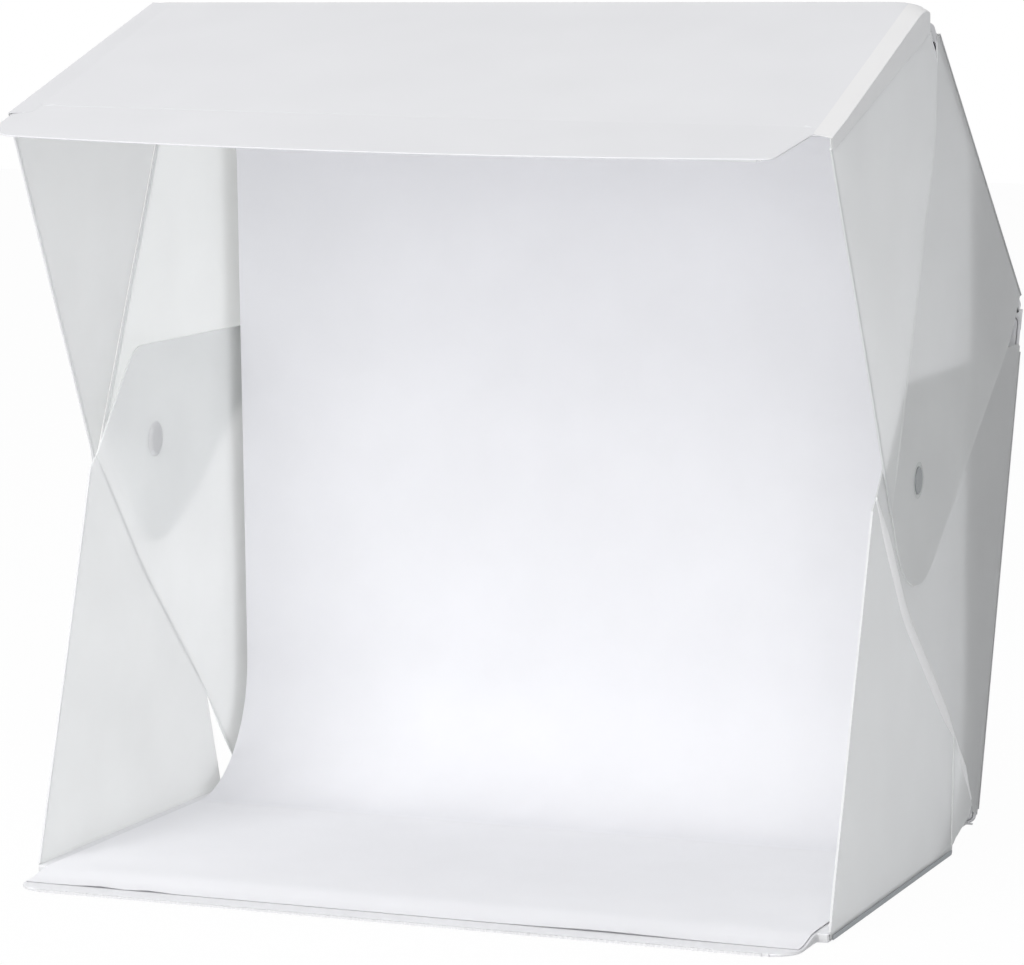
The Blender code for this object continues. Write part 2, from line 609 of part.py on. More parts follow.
def make_sweep(base, upper):
    """Thin film in three lengths: a head on the upper back, a hanging length and a floor length."""
    lie = UPPER_FACE + GAP + PAD_THICK + GAP + THIN / 2
    head = placed(UPPER_FRAME, UPPER_LENGTH - SWEEP_HEAD, lie)
    bend = placed(UPPER_FRAME, UPPER_LENGTH - SWEEP_BEND, lie)
    floor = BASE_TOP + GAP + THIN / 2
    foot = (HINGE_Y - SWEEP_FOOT_BACK, floor)
    down = Vector(foot) - Vector(bend)
    run = FLOOR_SWEEP_RADIUS / math.tan(Vector((-1, 0)).angle(-down) / 2)
    join = foot[0] - run
    fold = BEND_SWEEP_RADIUS * math.tan(down.angle(Vector(bend) - Vector(head)) / 2)
    split = placed(UPPER_FRAME, UPPER_LENGTH - SWEEP_BEND + fold, lie)
    above = placed(UPPER_FRAME, UPPER_LENGTH - SWEEP_BEND + fold + GAP, lie)
    points = ribbon([seen_from(UPPER_FRAME, place) for place in (head, above)], THIN)
    sub_part("sweep_head", side_plate(points, -SWEEP_HALF, SWEEP_HALF), upper, SWEEP)
    path = bend_path([(*split, 0), (*bend, BEND_SWEEP_RADIUS), (*foot, FLOOR_SWEEP_RADIUS),
                      (join - GAP, floor, 0)], SWEEP_STEPS)
    local = [seen_from(UPPER_FRAME, place) for place in path]
    origin = local[0]
    points = ribbon([(y - origin[0], z - origin[1]) for y, z in local], THIN)
    sub_part("sweep_drop", side_plate(points, -SWEEP_HALF, SWEEP_HALF), upper, SWEEP, (0, *origin),
             smooth=True)
    end = join - 2 * GAP
    corners = [(-SWEEP_HALF, -SWEEP_FRONT, SWEEP_CORNER), (SWEEP_HALF, -SWEEP_FRONT, SWEEP_CORNER),
               (SWEEP_HALF, end, 0), (-SWEEP_HALF, end, 0)]
    low = BASE_TOP + GAP
    sub_part("sweep_floor", flat_plate(trace(corners), low, low + THIN), base, SWEEP)
    for word, side in (("left", -1), ("right", 1)):
        make_pad("sweep_pad_" + word, upper, side * (SWEEP_HALF - PAD_SIDE),
                 UPPER_LENGTH - SWEEP_HEAD - BAND_END - PAD_WIDTH, UPPER_FACE + GAP)


def make_pad(name, parent, middle, start, low):
    """Rounded pad of hook tape between the sweep and the upper back."""
    half = PAD_LENGTH / 2
    corners = [(middle - half, start, SMALL_RADIUS), (middle + half, start, SMALL_RADIUS),
               (middle + half, start + PAD_WIDTH, SMALL_RADIUS), (middle - half, start + PAD_WIDTH, SMALL_RADIUS)]
    sub_part(name, flat_plate(trace(corners), low, low + PAD_THICK), parent, GREY)


def make_light_bar(top):
    """Shallow channel with a row of light chips under a milky cover, held by two pads under the lip."""
    front = TOP_DEPTH + BAR_FRONT
    rear = front - BAR_WIDTH
    pad_low = TOP_FACE - PANEL + FILM + GAP
    back = pad_low + BAR_PAD + GAP
    mouth = back + BAR_HEIGHT
    wall, floor = BAR_WALL, back + BAR_WALL
    points = [(rear, mouth), (rear, back), (front, back), (front, mouth), (front - wall, mouth),
              (front - wall, floor), (rear + wall, floor), (rear + wall, mouth)]
    sub_part("light_bar_channel", side_plate(points, -BAR_HALF, BAR_HALF), top, ALLOY)
    make_chip_strip(top, rear + wall + GAP, front - wall - GAP, floor + GAP)
    cover = [(rear + wall + GAP, mouth - DIFFUSER_THICK), (front - wall - GAP, mouth - DIFFUSER_THICK),
             (front - wall - GAP, mouth), (rear + wall + GAP, mouth)]
    sub_part("light_bar_cover", side_plate(cover, -BAR_HALF, BAR_HALF), top, MILKY)
    ends = [(rear, back, SMALL_RADIUS / 2), (front, back, SMALL_RADIUS / 2), (front, mouth, SMALL_RADIUS / 2),
            (rear, mouth, SMALL_RADIUS / 2)]
    for word, side in (("left", -1), ("right", 1)):
        near, far = sorted((side * (BAR_HALF + GAP), side * (BAR_HALF + GAP + CAP_THICK)))
        sub_part("light_bar_cap_" + word, side_plate(trace(ends), near, far), top, MILKY)
        low, high = side * BAR_PAD_PLACE - BAR_PAD_LENGTH / 2, side * BAR_PAD_PLACE + BAR_PAD_LENGTH / 2
        pad = [(low, rear + wall), (high, rear + wall), (high, front - wall), (low, front - wall)]
        sub_part("light_bar_pad_" + word, flat_plate(pad, pad_low, pad_low + BAR_PAD), top, GREY)
    make_inlet(top, front + GAP, (back + mouth) / 2)


def make_chip_strip(top, rear, front, low):
    """Circuit strip with raised chips at one pitch, cut as one stepped profile."""
    half = BAR_HALF - GAP - CAP_THICK
    pitch = 2 * half / CHIP_COUNT
    board, raised = low + STRIP_THICK, low + STRIP_THICK + CHIP_HEIGHT
    profile = [(-half, board)]
    for k in range(CHIP_COUNT):
        middle = -half + (k + 1 / 2) * pitch
        for x, z in ((-1, board), (-1, raised), (1, raised), (1, board)):
            profile.append((middle + x * CHIP_LENGTH / 2, z))
    profile += [(half, board), (half, low), (-half, low)]
    loops = [[(x, y, z) for x, z in profile] for y in (rear, front)]
    sub_part("light_bar_chips", skinned(loops), top, GREEN_WHITE)


def make_inlet(top, start, middle):
    """Power inlet on the front of the bar: a block with a round bore and a centre pin."""
    half, rise = INLET_WIDTH / 2, INLET_HEIGHT / 2
    corners = [(-half, -rise, SMALL_RADIUS / 3), (half, -rise, SMALL_RADIUS / 3),
               (half, rise, SMALL_RADIUS / 3), (-half, rise, SMALL_RADIUS / 3)]
    outline = trace(corners)
    end, floor = start + INLET_DEPTH, start + INLET_DEPTH - BORE_DEPTH
    block = skinned([[(x, y, middle + z) for x, z in outline] for y in (start, end)])
    inlet = sub_part("power_inlet", block, top, BLACK, (-INLET_PLACE, 0, 0))
    ring = []
    for k in range(24):
        angle = 2 * math.pi * k / 24
        ring.append((math.cos(angle), math.sin(angle)))
    loops = []
    for radius, y in ((INLET_BORE, end + OVERRUN), (INLET_BORE, floor), (INLET_PIN, floor), (INLET_PIN, end)):
        loops.append([(radius * x, y, middle + radius * z) for x, z in ring])
    cutter = sub_part("cut_power_inlet", skinned(loops), top, BLACK, (-INLET_PLACE, 0, 0))
    cutter.hide_render = True
    cutter.display_type = "WIRE"
    cut = inlet.modifiers.new("bore", "BOOLEAN")
    cut.operation = "DIFFERENCE"
    cut.solver = "EXACT"
    cut.object = cutter


def build_tent():
    base = pivot("base_frame", None, (0, -MIDDLE_Y, 0), 0)
    lower = pivot("lower_back_hinge", base, (0, HINGE_Y, HINGE_Z), LOWER_LEAN)
    upper = pivot("middle_hinge", lower, (0, *LOWER_END), UPPER_LEAN - LOWER_LEAN)
    top = pivot("top_hinge", upper, (0, *UPPER_END), TOP_LEAN - UPPER_LEAN)
    make_base(base)
    make_lower_back(lower)
    make_upper_back(upper)
    make_top(top)
    for word, side in (("left", -1), ("right", 1)):
        make_side(side, word, base, lower, upper, top)
    make_sweep(base, upper)
    make_light_bar(top)
    bpy.context.view_layer.update()


for old in list(bpy.data.objects):
    bpy.data.objects.remove(old, do_unlink=True)
build_tent()
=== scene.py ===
"""Folding light tent cube: its films, boards, magnets, sweep and light bar in their real finishes."""
import json
import math

import bmesh
import bpy
from mathutils import Matrix, Vector, noise as cloud

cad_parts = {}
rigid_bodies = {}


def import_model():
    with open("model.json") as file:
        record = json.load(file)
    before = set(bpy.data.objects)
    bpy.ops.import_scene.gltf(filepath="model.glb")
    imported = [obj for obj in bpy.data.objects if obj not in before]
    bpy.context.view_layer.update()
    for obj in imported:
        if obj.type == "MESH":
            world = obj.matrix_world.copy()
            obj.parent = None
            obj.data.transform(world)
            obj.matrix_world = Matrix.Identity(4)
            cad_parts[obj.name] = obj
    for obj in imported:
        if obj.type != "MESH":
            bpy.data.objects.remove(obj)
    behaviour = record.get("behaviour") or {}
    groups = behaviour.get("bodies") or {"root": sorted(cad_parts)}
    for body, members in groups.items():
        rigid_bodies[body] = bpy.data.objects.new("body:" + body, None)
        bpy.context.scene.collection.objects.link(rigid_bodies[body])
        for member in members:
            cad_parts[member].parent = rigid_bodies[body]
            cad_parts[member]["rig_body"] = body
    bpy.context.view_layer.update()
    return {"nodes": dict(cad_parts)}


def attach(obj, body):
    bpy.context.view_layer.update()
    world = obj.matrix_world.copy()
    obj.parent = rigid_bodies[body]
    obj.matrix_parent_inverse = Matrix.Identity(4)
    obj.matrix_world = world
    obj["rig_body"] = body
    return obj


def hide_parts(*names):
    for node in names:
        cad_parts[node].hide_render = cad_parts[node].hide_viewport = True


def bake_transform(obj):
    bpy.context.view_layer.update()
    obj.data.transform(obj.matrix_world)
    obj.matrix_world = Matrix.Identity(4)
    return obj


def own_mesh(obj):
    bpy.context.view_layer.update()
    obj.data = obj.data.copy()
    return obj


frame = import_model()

MM = 0.001
nodes = frame["nodes"]
SIDES = (("left", -1), ("right", 1))

# ---------------------------------------------------------------- places of the tent

SHIFT = 133.659 * MM                  # the front foot of the side sheets stands this far in front of y = 0
BASE = (-SHIFT, 0.0, 0.0)             # (y, z, lean) of each panel's hinge
LOWER = (0.121341, 0.0075, math.radians(74.4))
UPPER = (0.196926, 0.252187, math.radians(142.8))
TOP = (-0.000066, 0.392924, math.radians(196.5))
FILM, GAP, PANEL, TAPE = 0.8 * MM, 0.3 * MM, 4.0 * MM, 0.4 * MM
UPPER_INNER, LOWER_INNER = 189.7 * MM, 188.6 * MM      # inner faces of the side sheets
PANEL_OUTER = -6.2 * MM               # outer face of the top and lower back, from the hinge into the tent
TOP_FRONT = 170 * MM                  # front of the side sheets along the top
LIP_ROOT = 156.3 * MM                 # the front lip begins here along the top
FLANK_DROP = 191 * MM                 # depth of the upper side sheets below the top
SHEET_END, BACK_HINGE = 215 * MM, 255 * MM             # lower front sheet and lower back, behind that foot
MAGNET = (-4.659 * MM, 189 * MM)
HAIR = 0.05 * MM                      # places closer than this count as the same
WELD_MARK = 1.3 * MM                  # distance of the small marks along a welded edge


def placed(panel, along, inward):
    """(y, z) of a place given along a panel and into the tent."""
    return (panel[0] + along * math.cos(panel[2]) - inward * math.sin(panel[2]),
            panel[1] + along * math.sin(panel[2]) + inward * math.cos(panel[2]))


def seen_from(panel, y, z):
    """A place along a panel and into the tent."""
    dy, dz = y - panel[0], z - panel[1]
    return (dy * math.cos(panel[2]) + dz * math.sin(panel[2]),
            dz * math.cos(panel[2]) - dy * math.sin(panel[2]))


def inward_of(panel):
    """Direction into the tent, square to a panel."""
    return Vector((0, *placed(panel, 0, 1))) - Vector((0, *placed(panel, 0, 0)))


def clamped(value):
    """A value held between 0 and 1."""
    return min(1.0, max(0.0, value))


def ease(value):
    """A soft step from 0 to 1."""
    value = clamped(value)
    return value * value * (3 - 2 * value)


UPPER_VERTEX = placed(TOP, 0.643 * TOP_FRONT, FLANK_DROP)
SLIT_TIP = placed(UPPER, 224 * MM, 11.8 * MM)
CREASE_BEND = (SLIT_TIP[0] - 2 * MM, SLIT_TIP[1] - 38 * MM)
LOWER_VERTEX = (0.28 * SHEET_END - SHIFT, 188 * MM)
LOWER_BEND = (0.537 * SHEET_END - SHIFT, 127 * MM)
HOLE_TIPS = {"left": (0.90 * SHEET_END - SHIFT, 56 * MM), "right": (SHEET_END - SHIFT, 56 * MM)}
HEELS = {"left": (0.93 * BACK_HINGE - SHIFT, 10 * MM), "right": (0.975 * BACK_HINGE - SHIFT, 21 * MM)}


# ---------------------------------------------------------------- camera, light and floor

CAMERA_PLACE = (0.735625, -2.107755, 0.442273)
CAMERA_ANGLES = (19.426, 6.771, 0.841)                 # azimuth, elevation and roll in degrees
FOCAL_PX, IMAGE_PX, SENSOR_MM = 4777.86, 1024, 36
ROOM = 0.42                           # strength of the room light
LAMPS = (("low_left", (-0.7, -2.6, 0.15), 18), ("low_right", (0.9, -2.6, 0.9), 18),
         ("high_left", (-0.7, -2.2, 1.9), 26.5), ("overhead", (-0.6, -0.6, 2.6), 14.4))
LAMP_SIZE, LAMP_AIM = 1.6, (0, 0, 0.2)
SEEN = ("Is Camera Ray", "Is Glossy Ray", "Is Transmission Ray")
FLOOR_RADIUS, FLOOR_LEVEL, FLOOR_GLOW = 6, -0.4 * MM, 0.97


def aim_camera():
    """The photograph's long-lens view from the front right, a little above the tent."""
    azimuth, elevation, roll = (math.radians(v) for v in CAMERA_ANGLES)
    back = Vector((math.sin(azimuth) * math.cos(elevation), -math.cos(azimuth) * math.cos(elevation),
                   math.sin(elevation)))
    right = (-back).cross(Vector((0, 0, 1))).normalized()
    up = right.cross(-back)
    right, up = (right * math.cos(roll) + up * math.sin(roll), up * math.cos(roll) - right * math.sin(roll))
    data = bpy.data.cameras.new("camera")
    data.sensor_width = SENSOR_MM
    data.lens = FOCAL_PX / IMAGE_PX * SENSOR_MM
    data.clip_start, data.clip_end = 0.05, 50
    camera = bpy.data.objects.new("camera", data)
    bpy.context.scene.collection.objects.link(camera)
    turn = Matrix((right, up, back)).transposed().to_4x4()
    camera.matrix_world = Matrix.Translation(CAMERA_PLACE) @ turn
    bpy.context.scene.camera = camera


def soft_light(name, place, power):
    """A large round lamp that looks at the tent."""
    data = bpy.data.lights.new(name, "AREA")
    data.shape = "DISK"
    data.size = LAMP_SIZE
    data.energy = power
    light = bpy.data.objects.new(name, data)
    bpy.context.scene.collection.objects.link(light)
    light.location = place
    light.rotation_euler = (Vector(place) - Vector(LAMP_AIM)).to_track_quat("Z", "Y").to_euler()


def shown_rays(tree, *kinds):
    """1 for the rays of these kinds, 0 for all others."""
    path = tree.nodes.new("ShaderNodeLightPath")
    value = path.outputs[kinds[0]]
    for kind in kinds[1:]:
        both = tree.nodes.new("ShaderNodeMath")
        both.operation = "MAXIMUM"
        tree.links.new(value, both.inputs[0])
        tree.links.new(path.outputs[kind], both.inputs[1])
        value = both.outputs[0]
    return value


def mixed(tree, share, first, second):
    """Two shaders in a share that is a plain number or comes from a socket."""
    mix = tree.nodes.new("ShaderNodeMixShader")
    if isinstance(share, float):
        mix.inputs[0].default_value = share
    else:
        tree.links.new(share, mix.inputs[0])
    tree.links.new(first, mix.inputs[1])
    tree.links.new(second, mix.inputs[2])
    return mix.outputs[0]


def studio():
    """Even white room light, and large soft lamps low and high in front and above."""
    world = bpy.data.worlds.new("studio")
    world.use_nodes = True
    bpy.context.scene.world = world
    tree = world.node_tree
    tree.nodes.clear()
    out = tree.nodes.new("ShaderNodeOutputWorld")
    room, seen = tree.nodes.new("ShaderNodeBackground"), tree.nodes.new("ShaderNodeBackground")
    room.inputs["Color"].default_value = (0.97, 0.98, 1.0, 1)
    room.inputs["Strength"].default_value = ROOM
    seen.inputs["Color"].default_value = (1, 1, 1, 1)
    both = mixed(tree, shown_rays(tree, *SEEN), room.outputs[0], seen.outputs[0])
    tree.links.new(both, out.inputs["Surface"])
    for name, place, power in LAMPS:
        soft_light(name, place, power)


def lay_floor():
    """Pale floor that keeps only a faint shadow and runs into the white background."""
    shape = bmesh.new()
    bmesh.ops.create_circle(shape, cap_ends=True, segments=96, radius=FLOOR_RADIUS)
    mesh = bpy.data.meshes.new("floor")
    shape.to_mesh(mesh)
    shape.free()
    floor = bpy.data.objects.new("floor", mesh)
    bpy.context.scene.collection.objects.link(floor)
    floor.location.z = FLOOR_LEVEL
    finish = bpy.data.materials.new("floor")
    finish.use_nodes = True
    tree = finish.node_tree
    tree.nodes.clear()
    out = tree.nodes.new("ShaderNodeOutputMaterial")
    matt, glow = tree.nodes.new("ShaderNodeBsdfDiffuse"), tree.nodes.new("ShaderNodeEmission")
    matt.inputs["Color"].default_value = (0.92, 0.92, 0.93, 1)
    glow.inputs["Color"].default_value = (1, 1, 1, 1)
    glow.inputs["Strength"].default_value = 1.0
    share = tree.nodes.new("ShaderNodeMath")
    share.operation = "MULTIPLY"
    share.inputs[1].default_value = FLOOR_GLOW
    tree.links.new(shown_rays(tree, *SEEN), share.inputs[0])
    both = mixed(tree, share.outputs[0], matt.outputs[0], glow.outputs[0])
    tree.links.new(both, out.inputs["Surface"])
    mesh.materials.append(finish)


aim_camera()
studio()
lay_floor()


# ---------------------------------------------------------------- finishes

FILM_CLOUD, FILM_WAVE, FILM_GRAIN = 22, 14, 2600       # repeats per metre of tone, waviness and embossing
FILM_TINT = (0.99, 1.0, 0.995)        # colour of what is seen through a film


def new_finish(name):
    """A material with a Principled shader on Object coordinates."""
    found = bpy.data.materials.new(name)
    found.use_nodes = True
    tree = found.node_tree
    shader = tree.nodes["Principled BSDF"]
    place = tree.nodes.new("ShaderNodeTexCoord")
    return found, tree, shader, place.outputs["Object"]


def noise(tree, place, scale, detail=3, stretch=None):
    """Cloudy value between 0 and 1 with a grain of one size, in repeats per metre."""
    if stretch:
        fit = tree.nodes.new("ShaderNodeMapping")
        fit.inputs["Scale"].default_value = stretch
        tree.links.new(place, fit.inputs["Vector"])
        place = fit.outputs["Vector"]
    found = tree.nodes.new("ShaderNodeTexNoise")
    found.inputs["Scale"].default_value = scale
    found.inputs["Detail"].default_value = detail
    tree.links.new(place, found.inputs["Vector"])
    return found.outputs["Fac"]


def ramp(tree, value, stops):
    """Colours along a value."""
    found = tree.nodes.new("ShaderNodeValToRGB")
    marks = found.color_ramp.elements
    while len(marks) < len(stops):
        marks.new(0.5)
    for mark, (place, colour) in zip(marks, stops):
        mark.position = place
        mark.color = (*colour, 1)
    tree.links.new(value, found.inputs["Fac"])
    return found.outputs["Color"]


def span(tree, value, low, high):
    """A value of 0 to 1 brought between two others."""
    found = tree.nodes.new("ShaderNodeMapRange")
    found.inputs["To Min"].default_value = low
    found.inputs["To Max"].default_value = high
    tree.links.new(value, found.inputs["Value"])
    return found.outputs["Result"]


def bump(tree, shader, height, strength, distance, under=None):
    """Relief of a height value, over the relief that lies under it."""
    found = tree.nodes.new("ShaderNodeBump")
    found.inputs["Strength"].default_value = strength
    found.inputs["Distance"].default_value = distance
    tree.links.new(height, found.inputs["Height"])
    if under is not None:
        tree.links.new(under, found.inputs["Normal"])
    tree.links.new(found.outputs["Normal"], shader.inputs["Normal"])
    return found.outputs["Normal"]


def mottled(tree, shader, place, colour, roughness, size, spread):
    """Slight clouds in the colour and the sheen of a surface."""
    tone = ramp(tree, noise(tree, place, size, 4), [(0.3, [c * (1 - spread) for c in colour]),
                                                    (0.7, [min(1, c * (1 + spread / 2)) for c in colour])])
    tree.links.new(tone, shader.inputs["Base Color"])
    tree.links.new(span(tree, noise(tree, place, size * 4, 2), roughness - 0.05, roughness + 0.05),
                   shader.inputs["Roughness"])
    return tone


def film_finish(name, colour, roughness, see_through=0.0, glow_through=0.0, sheen=0.3):
    """Plastic film: cloudy white, fine embossed grain, and light that passes through it."""
    found, tree, shader, place = new_finish(name)
    tone = mottled(tree, shader, place, colour, roughness, FILM_CLOUD, 0.02)
    shader.inputs["Specular IOR Level"].default_value = sheen
    coarse = bump(tree, shader, noise(tree, place, FILM_WAVE, 2), 0.25, 1.2 * MM)
    normal = bump(tree, shader, noise(tree, place, FILM_GRAIN, 2), 0.35, 0.06 * MM, coarse)
    if glow_through or see_through:
        out = tree.nodes["Material Output"]
        through = tree.nodes.new("ShaderNodeBsdfTranslucent")
        clear = tree.nodes.new("ShaderNodeBsdfTransparent")
        tree.links.new(tone, through.inputs["Color"])
        tree.links.new(normal, through.inputs["Normal"])
        clear.inputs["Color"].default_value = (*FILM_TINT, 1)
        lit = mixed(tree, glow_through, shader.outputs[0], through.outputs[0])
        tree.links.new(mixed(tree, see_through, lit, clear.outputs[0]), out.inputs["Surface"])
    return found


def board_finish():
    """Pressed grey-white board with short fibres and darker flecks."""
    found, tree, shader, place = new_finish("pressed_board")
    fibres = noise(tree, place, 900, 5, (1, 0.25, 1))
    tone = ramp(tree, fibres, [(0.25, (0.52, 0.50, 0.46)), (0.5, (0.70, 0.69, 0.66)),
                                (0.8, (0.78, 0.77, 0.74))])
    tree.links.new(tone, shader.inputs["Base Color"])
    shader.inputs["Roughness"].default_value = 0.85
    bump(tree, shader, fibres, 0.5, 0.0001)
    return found


def nickel_finish():
    """Satin nickel plate with fine turning rings and a few dull patches."""
    found, tree, shader, place = new_finish("satin_nickel")
    centre = tree.nodes.new("ShaderNodeMapping")
    centre.vector_type = "POINT"
    centre.inputs["Location"].default_value = (0, -MAGNET[0], -MAGNET[1])
    tree.links.new(place, centre.inputs["Vector"])
    rings = tree.nodes.new("ShaderNodeTexWave")
    rings.wave_type = "RINGS"
    rings.rings_direction = "X"
    rings.inputs["Scale"].default_value = 420
    rings.inputs["Distortion"].default_value = 0.6
    tree.links.new(centre.outputs["Vector"], rings.inputs["Vector"])
    dull = noise(tree, place, 160, 4)
    tone = ramp(tree, dull, [(0.3, (0.17, 0.18, 0.195)), (0.7, (0.25, 0.26, 0.275))])
    tree.links.new(tone, shader.inputs["Base Color"])
    shader.inputs["Metallic"].default_value = 1.0
    tree.links.new(span(tree, dull, 0.3, 0.5), shader.inputs["Roughness"])
    bump(tree, shader, rings.outputs["Fac"], 0.12, 0.00003)
    return found


def alloy_finish():
    """Satin anodised channel, drawn along its length."""
    found, tree, shader, place = new_finish("satin_alloy")
    drawn = noise(tree, place, 1400, 3, (0.02, 1, 1))
    tone = ramp(tree, drawn, [(0.3, (0.68, 0.69, 0.70)), (0.7, (0.80, 0.81, 0.82))])
    tree.links.new(tone, shader.inputs["Base Color"])
    shader.inputs["Metallic"].default_value = 0.9
    tree.links.new(span(tree, drawn, 0.34, 0.5), shader.inputs["Roughness"])
    bump(tree, shader, drawn, 0.1, 0.00004)
    return found


def moulded_finish(name, colour, roughness, grain, depth, spread):
    """Moulded plastic, foam or tape with its own grain."""
    found, tree, shader, place = new_finish(name)
    mottled(tree, shader, place, colour, roughness, 120, spread)
    bump(tree, shader, noise(tree, place, grain, 3), 0.5, depth)
    return found


CHIP_PITCH = 13.3 * MM


def chip_finish():
    """White circuit strip with a yellow phosphor window on each raised chip."""
    found, tree, shader, place = new_finish("circuit_white")
    bands = tree.nodes.new("ShaderNodeTexWave")
    bands.bands_direction = "X"
    bands.inputs["Scale"].default_value = 1 / (10 * CHIP_PITCH)
    tree.links.new(place, bands.inputs["Vector"])
    tone = ramp(tree, bands.outputs["Fac"], [(0.8, (0.80, 0.82, 0.78)), (0.9, (0.86, 0.78, 0.35))])
    tree.links.new(tone, shader.inputs["Base Color"])
    tree.links.new(span(tree, noise(tree, place, 300, 2), 0.4, 0.6), shader.inputs["Roughness"])
    bump(tree, shader, noise(tree, place, 1800, 2), 0.3, 0.00005)
    return found


def frost(name, tone, see_through=0.1, glow_through=0.5, roughness=0.6, sheen=0.15):
    """Frosted film of one depth of tone."""
    colour = (tone, tone + 0.005, tone + 0.004)
    return film_finish(name, colour, roughness, see_through, glow_through, sheen)


skin_white = film_finish("skin_white", (0.71, 0.71, 0.725), 0.48)
liner_white = film_finish("liner_white", (0.87, 0.87, 0.885), 0.55)
frosted = frost("frosted", 0.93)
# A lighter copy of the frosted film: painted light on the left lower rear sheet.
frosted_painted_light = frost("frosted_painted_light", 0.965)
SHEET_PAINTED_TONES = {      # each side sheet's depth of tone and how much light it passes: lighter and darker copies of one film, painted light and painted shade for how light falls on each sheet
    "upper_front_film_left": frost("frosted_upper_left_painted_shade", 0.88),
    "upper_rear_film_left": frost("frosted_clear_painted_light", 0.96, 0.28, 0.52),
    "lower_front_film_left": frosted,
    "lower_rear_film_left": frosted_painted_light,
    "upper_front_film_right": frost("frosted_upper_front_painted_shade", 0.91),
    "upper_rear_film_right": frost("frosted_upper_rear_painted_shade", 0.86, 0.1, 0.46),
    "lower_front_film_right": frost("frosted_lower_front_painted_shade", 0.87, 0.1, 0.47),
    "lower_rear_film_right": frost("frosted_lower_rear_painted_shade", 0.81, 0.1, 0.45),
}
# Brighter than the side sheets, with more sheen: painted highlight along the right lower crease bead.
crease_painted_highlight = frost("crease_painted_highlight", 0.99, 0.0, 0.12, 0.4, 0.5)
upper_pocket = frost("upper_pocket", 0.9, 0.8, 0.3)
lower_pocket = frost("lower_pocket", 0.97, 0.0, 0.3)
hem_frosted = film_finish("hem_frosted", (0.78, 0.785, 0.79), 0.42, see_through=0.06, glow_through=0.35)
hem_white = film_finish("hem_white", (0.76, 0.755, 0.755), 0.45)
# Films for the hems' side-facing legs: a lighter copy on the top's legs (painted light) and a darker copy on
# the backs' legs (painted shade).
top_leg_painted_light = film_finish("top_leg_painted_light", (0.92, 0.925, 0.925), 0.5, glow_through=0.1, sheen=0.2)
back_leg_painted_shade = film_finish("back_leg_painted_shade", (0.66, 0.67, 0.67), 0.5, glow_through=0.1, sheen=0.2)
shadow_hem = film_finish("shadow_hem", (0.42, 0.44, 0.46), 0.5, sheen=0.2)
# A dimmer copy of the rim film: painted shade on the right upper rim.
rim_painted_shade = film_finish("rim_painted_shade", (0.80, 0.81, 0.81), 0.6, glow_through=0.3, sheen=0.05)
rim_white = film_finish("rim_white", (0.90, 0.90, 0.905), 0.5, glow_through=0.3, sheen=0.2)
sweep_white = film_finish("sweep_white", (0.92, 0.92, 0.945), 0.6, glow_through=0.08, sheen=0.2)
# A lighter copy of the sweep's film for its part on the base: painted light on the tent's floor.
sweep_floor_painted_light = film_finish("sweep_floor_painted_light", (0.965, 0.965, 0.985), 0.6, glow_through=0.08, sheen=0.2)
pressed_board = board_finish()
satin_nickel = nickel_finish()
satin_alloy = alloy_finish()
circuit_white = chip_finish()
milky = moulded_finish("milky_cover", (0.88, 0.88, 0.87), 0.4, 900, 0.00004, 0.02)
cap_white = moulded_finish("cap_white", (0.86, 0.86, 0.86), 0.5, 2200, 0.00005, 0.02)
inlet_black = moulded_finish("inlet_black", (0.03, 0.03, 0.032), 0.5, 2200, 0.00005, 0.2)
hook_grey = moulded_finish("hook_grey", (0.35, 0.35, 0.36), 0.9, 2600, 0.0004, 0.15)
foam_grey = moulded_finish("foam_grey", (0.35, 0.35, 0.36), 0.85, 1500, 0.0002, 0.12)


# ---------------------------------------------------------------- making of pieces

def piece(name, shape, finishes, body, stands_for=(), sharp=32, weighted=True):
    """A finished shape as an object that rides on its body and stands for CAD nodes."""
    bmesh.ops.recalc_face_normals(shape, faces=shape.faces)
    mesh = bpy.data.meshes.new(name)
    shape.to_mesh(mesh)
    shape.free()
    for finish in (finishes if isinstance(finishes, (list, tuple)) else [finishes]):
        mesh.materials.append(finish)
    mesh.shade_smooth()
    mesh.set_sharp_from_angle(angle=math.radians(sharp))
    made = bpy.data.objects.new(name, mesh)
    bpy.context.scene.collection.objects.link(made)
    if weighted:
        even = made.modifiers.new("even", "WEIGHTED_NORMAL")
        even.keep_sharp = True
    if body:
        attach(made, body)
    if stands_for:
        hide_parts(*stands_for)
    return made


def cad_shape(node):
    """A CAD node's shape with its triangles merged back into whole faces."""
    shape = bmesh.new()
    shape.from_mesh(nodes[node].data)
    bmesh.ops.remove_doubles(shape, verts=shape.verts, dist=1e-6)
    bmesh.ops.dissolve_limit(shape, angle_limit=math.radians(0.5), verts=shape.verts, edges=shape.edges)
    return shape


def soften(shape, width, segments=2, angle=40, keep=None):
    """Round the edges that turn by more than an angle."""
    edges = [e for e in shape.edges if len(e.link_faces) == 2 and e.calc_face_angle() > math.radians(angle)
             and (keep is None or keep(e))]
    bmesh.ops.bevel(shape, geom=edges, offset=width, offset_type="OFFSET", segments=segments, profile=0.5,
                    affect="EDGES", clamp_overlap=True, material=-1)


def rounded_copy(node, name, finish, width, segments=2):
    """A CAD node again with its edges rounded, on the same body."""
    shape = cad_shape(node)
    soften(shape, width, segments)
    return piece(name, shape, finish, nodes[node]["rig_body"], [node])


def cut(shape, place, normal, **clear):
    """Cut a shape along a plane."""
    bmesh.ops.bisect_plane(shape, geom=shape.verts[:] + shape.edges[:] + shape.faces[:], dist=1e-6,
                           plane_co=place, plane_no=normal, **clear)


def cut_across(shape, axis, marks):
    """Cut a shape square to an axis at each mark."""
    for mark in marks:
        place, normal = Vector(), Vector()
        place[axis], normal[axis] = mark, 1
        cut(shape, place, normal)


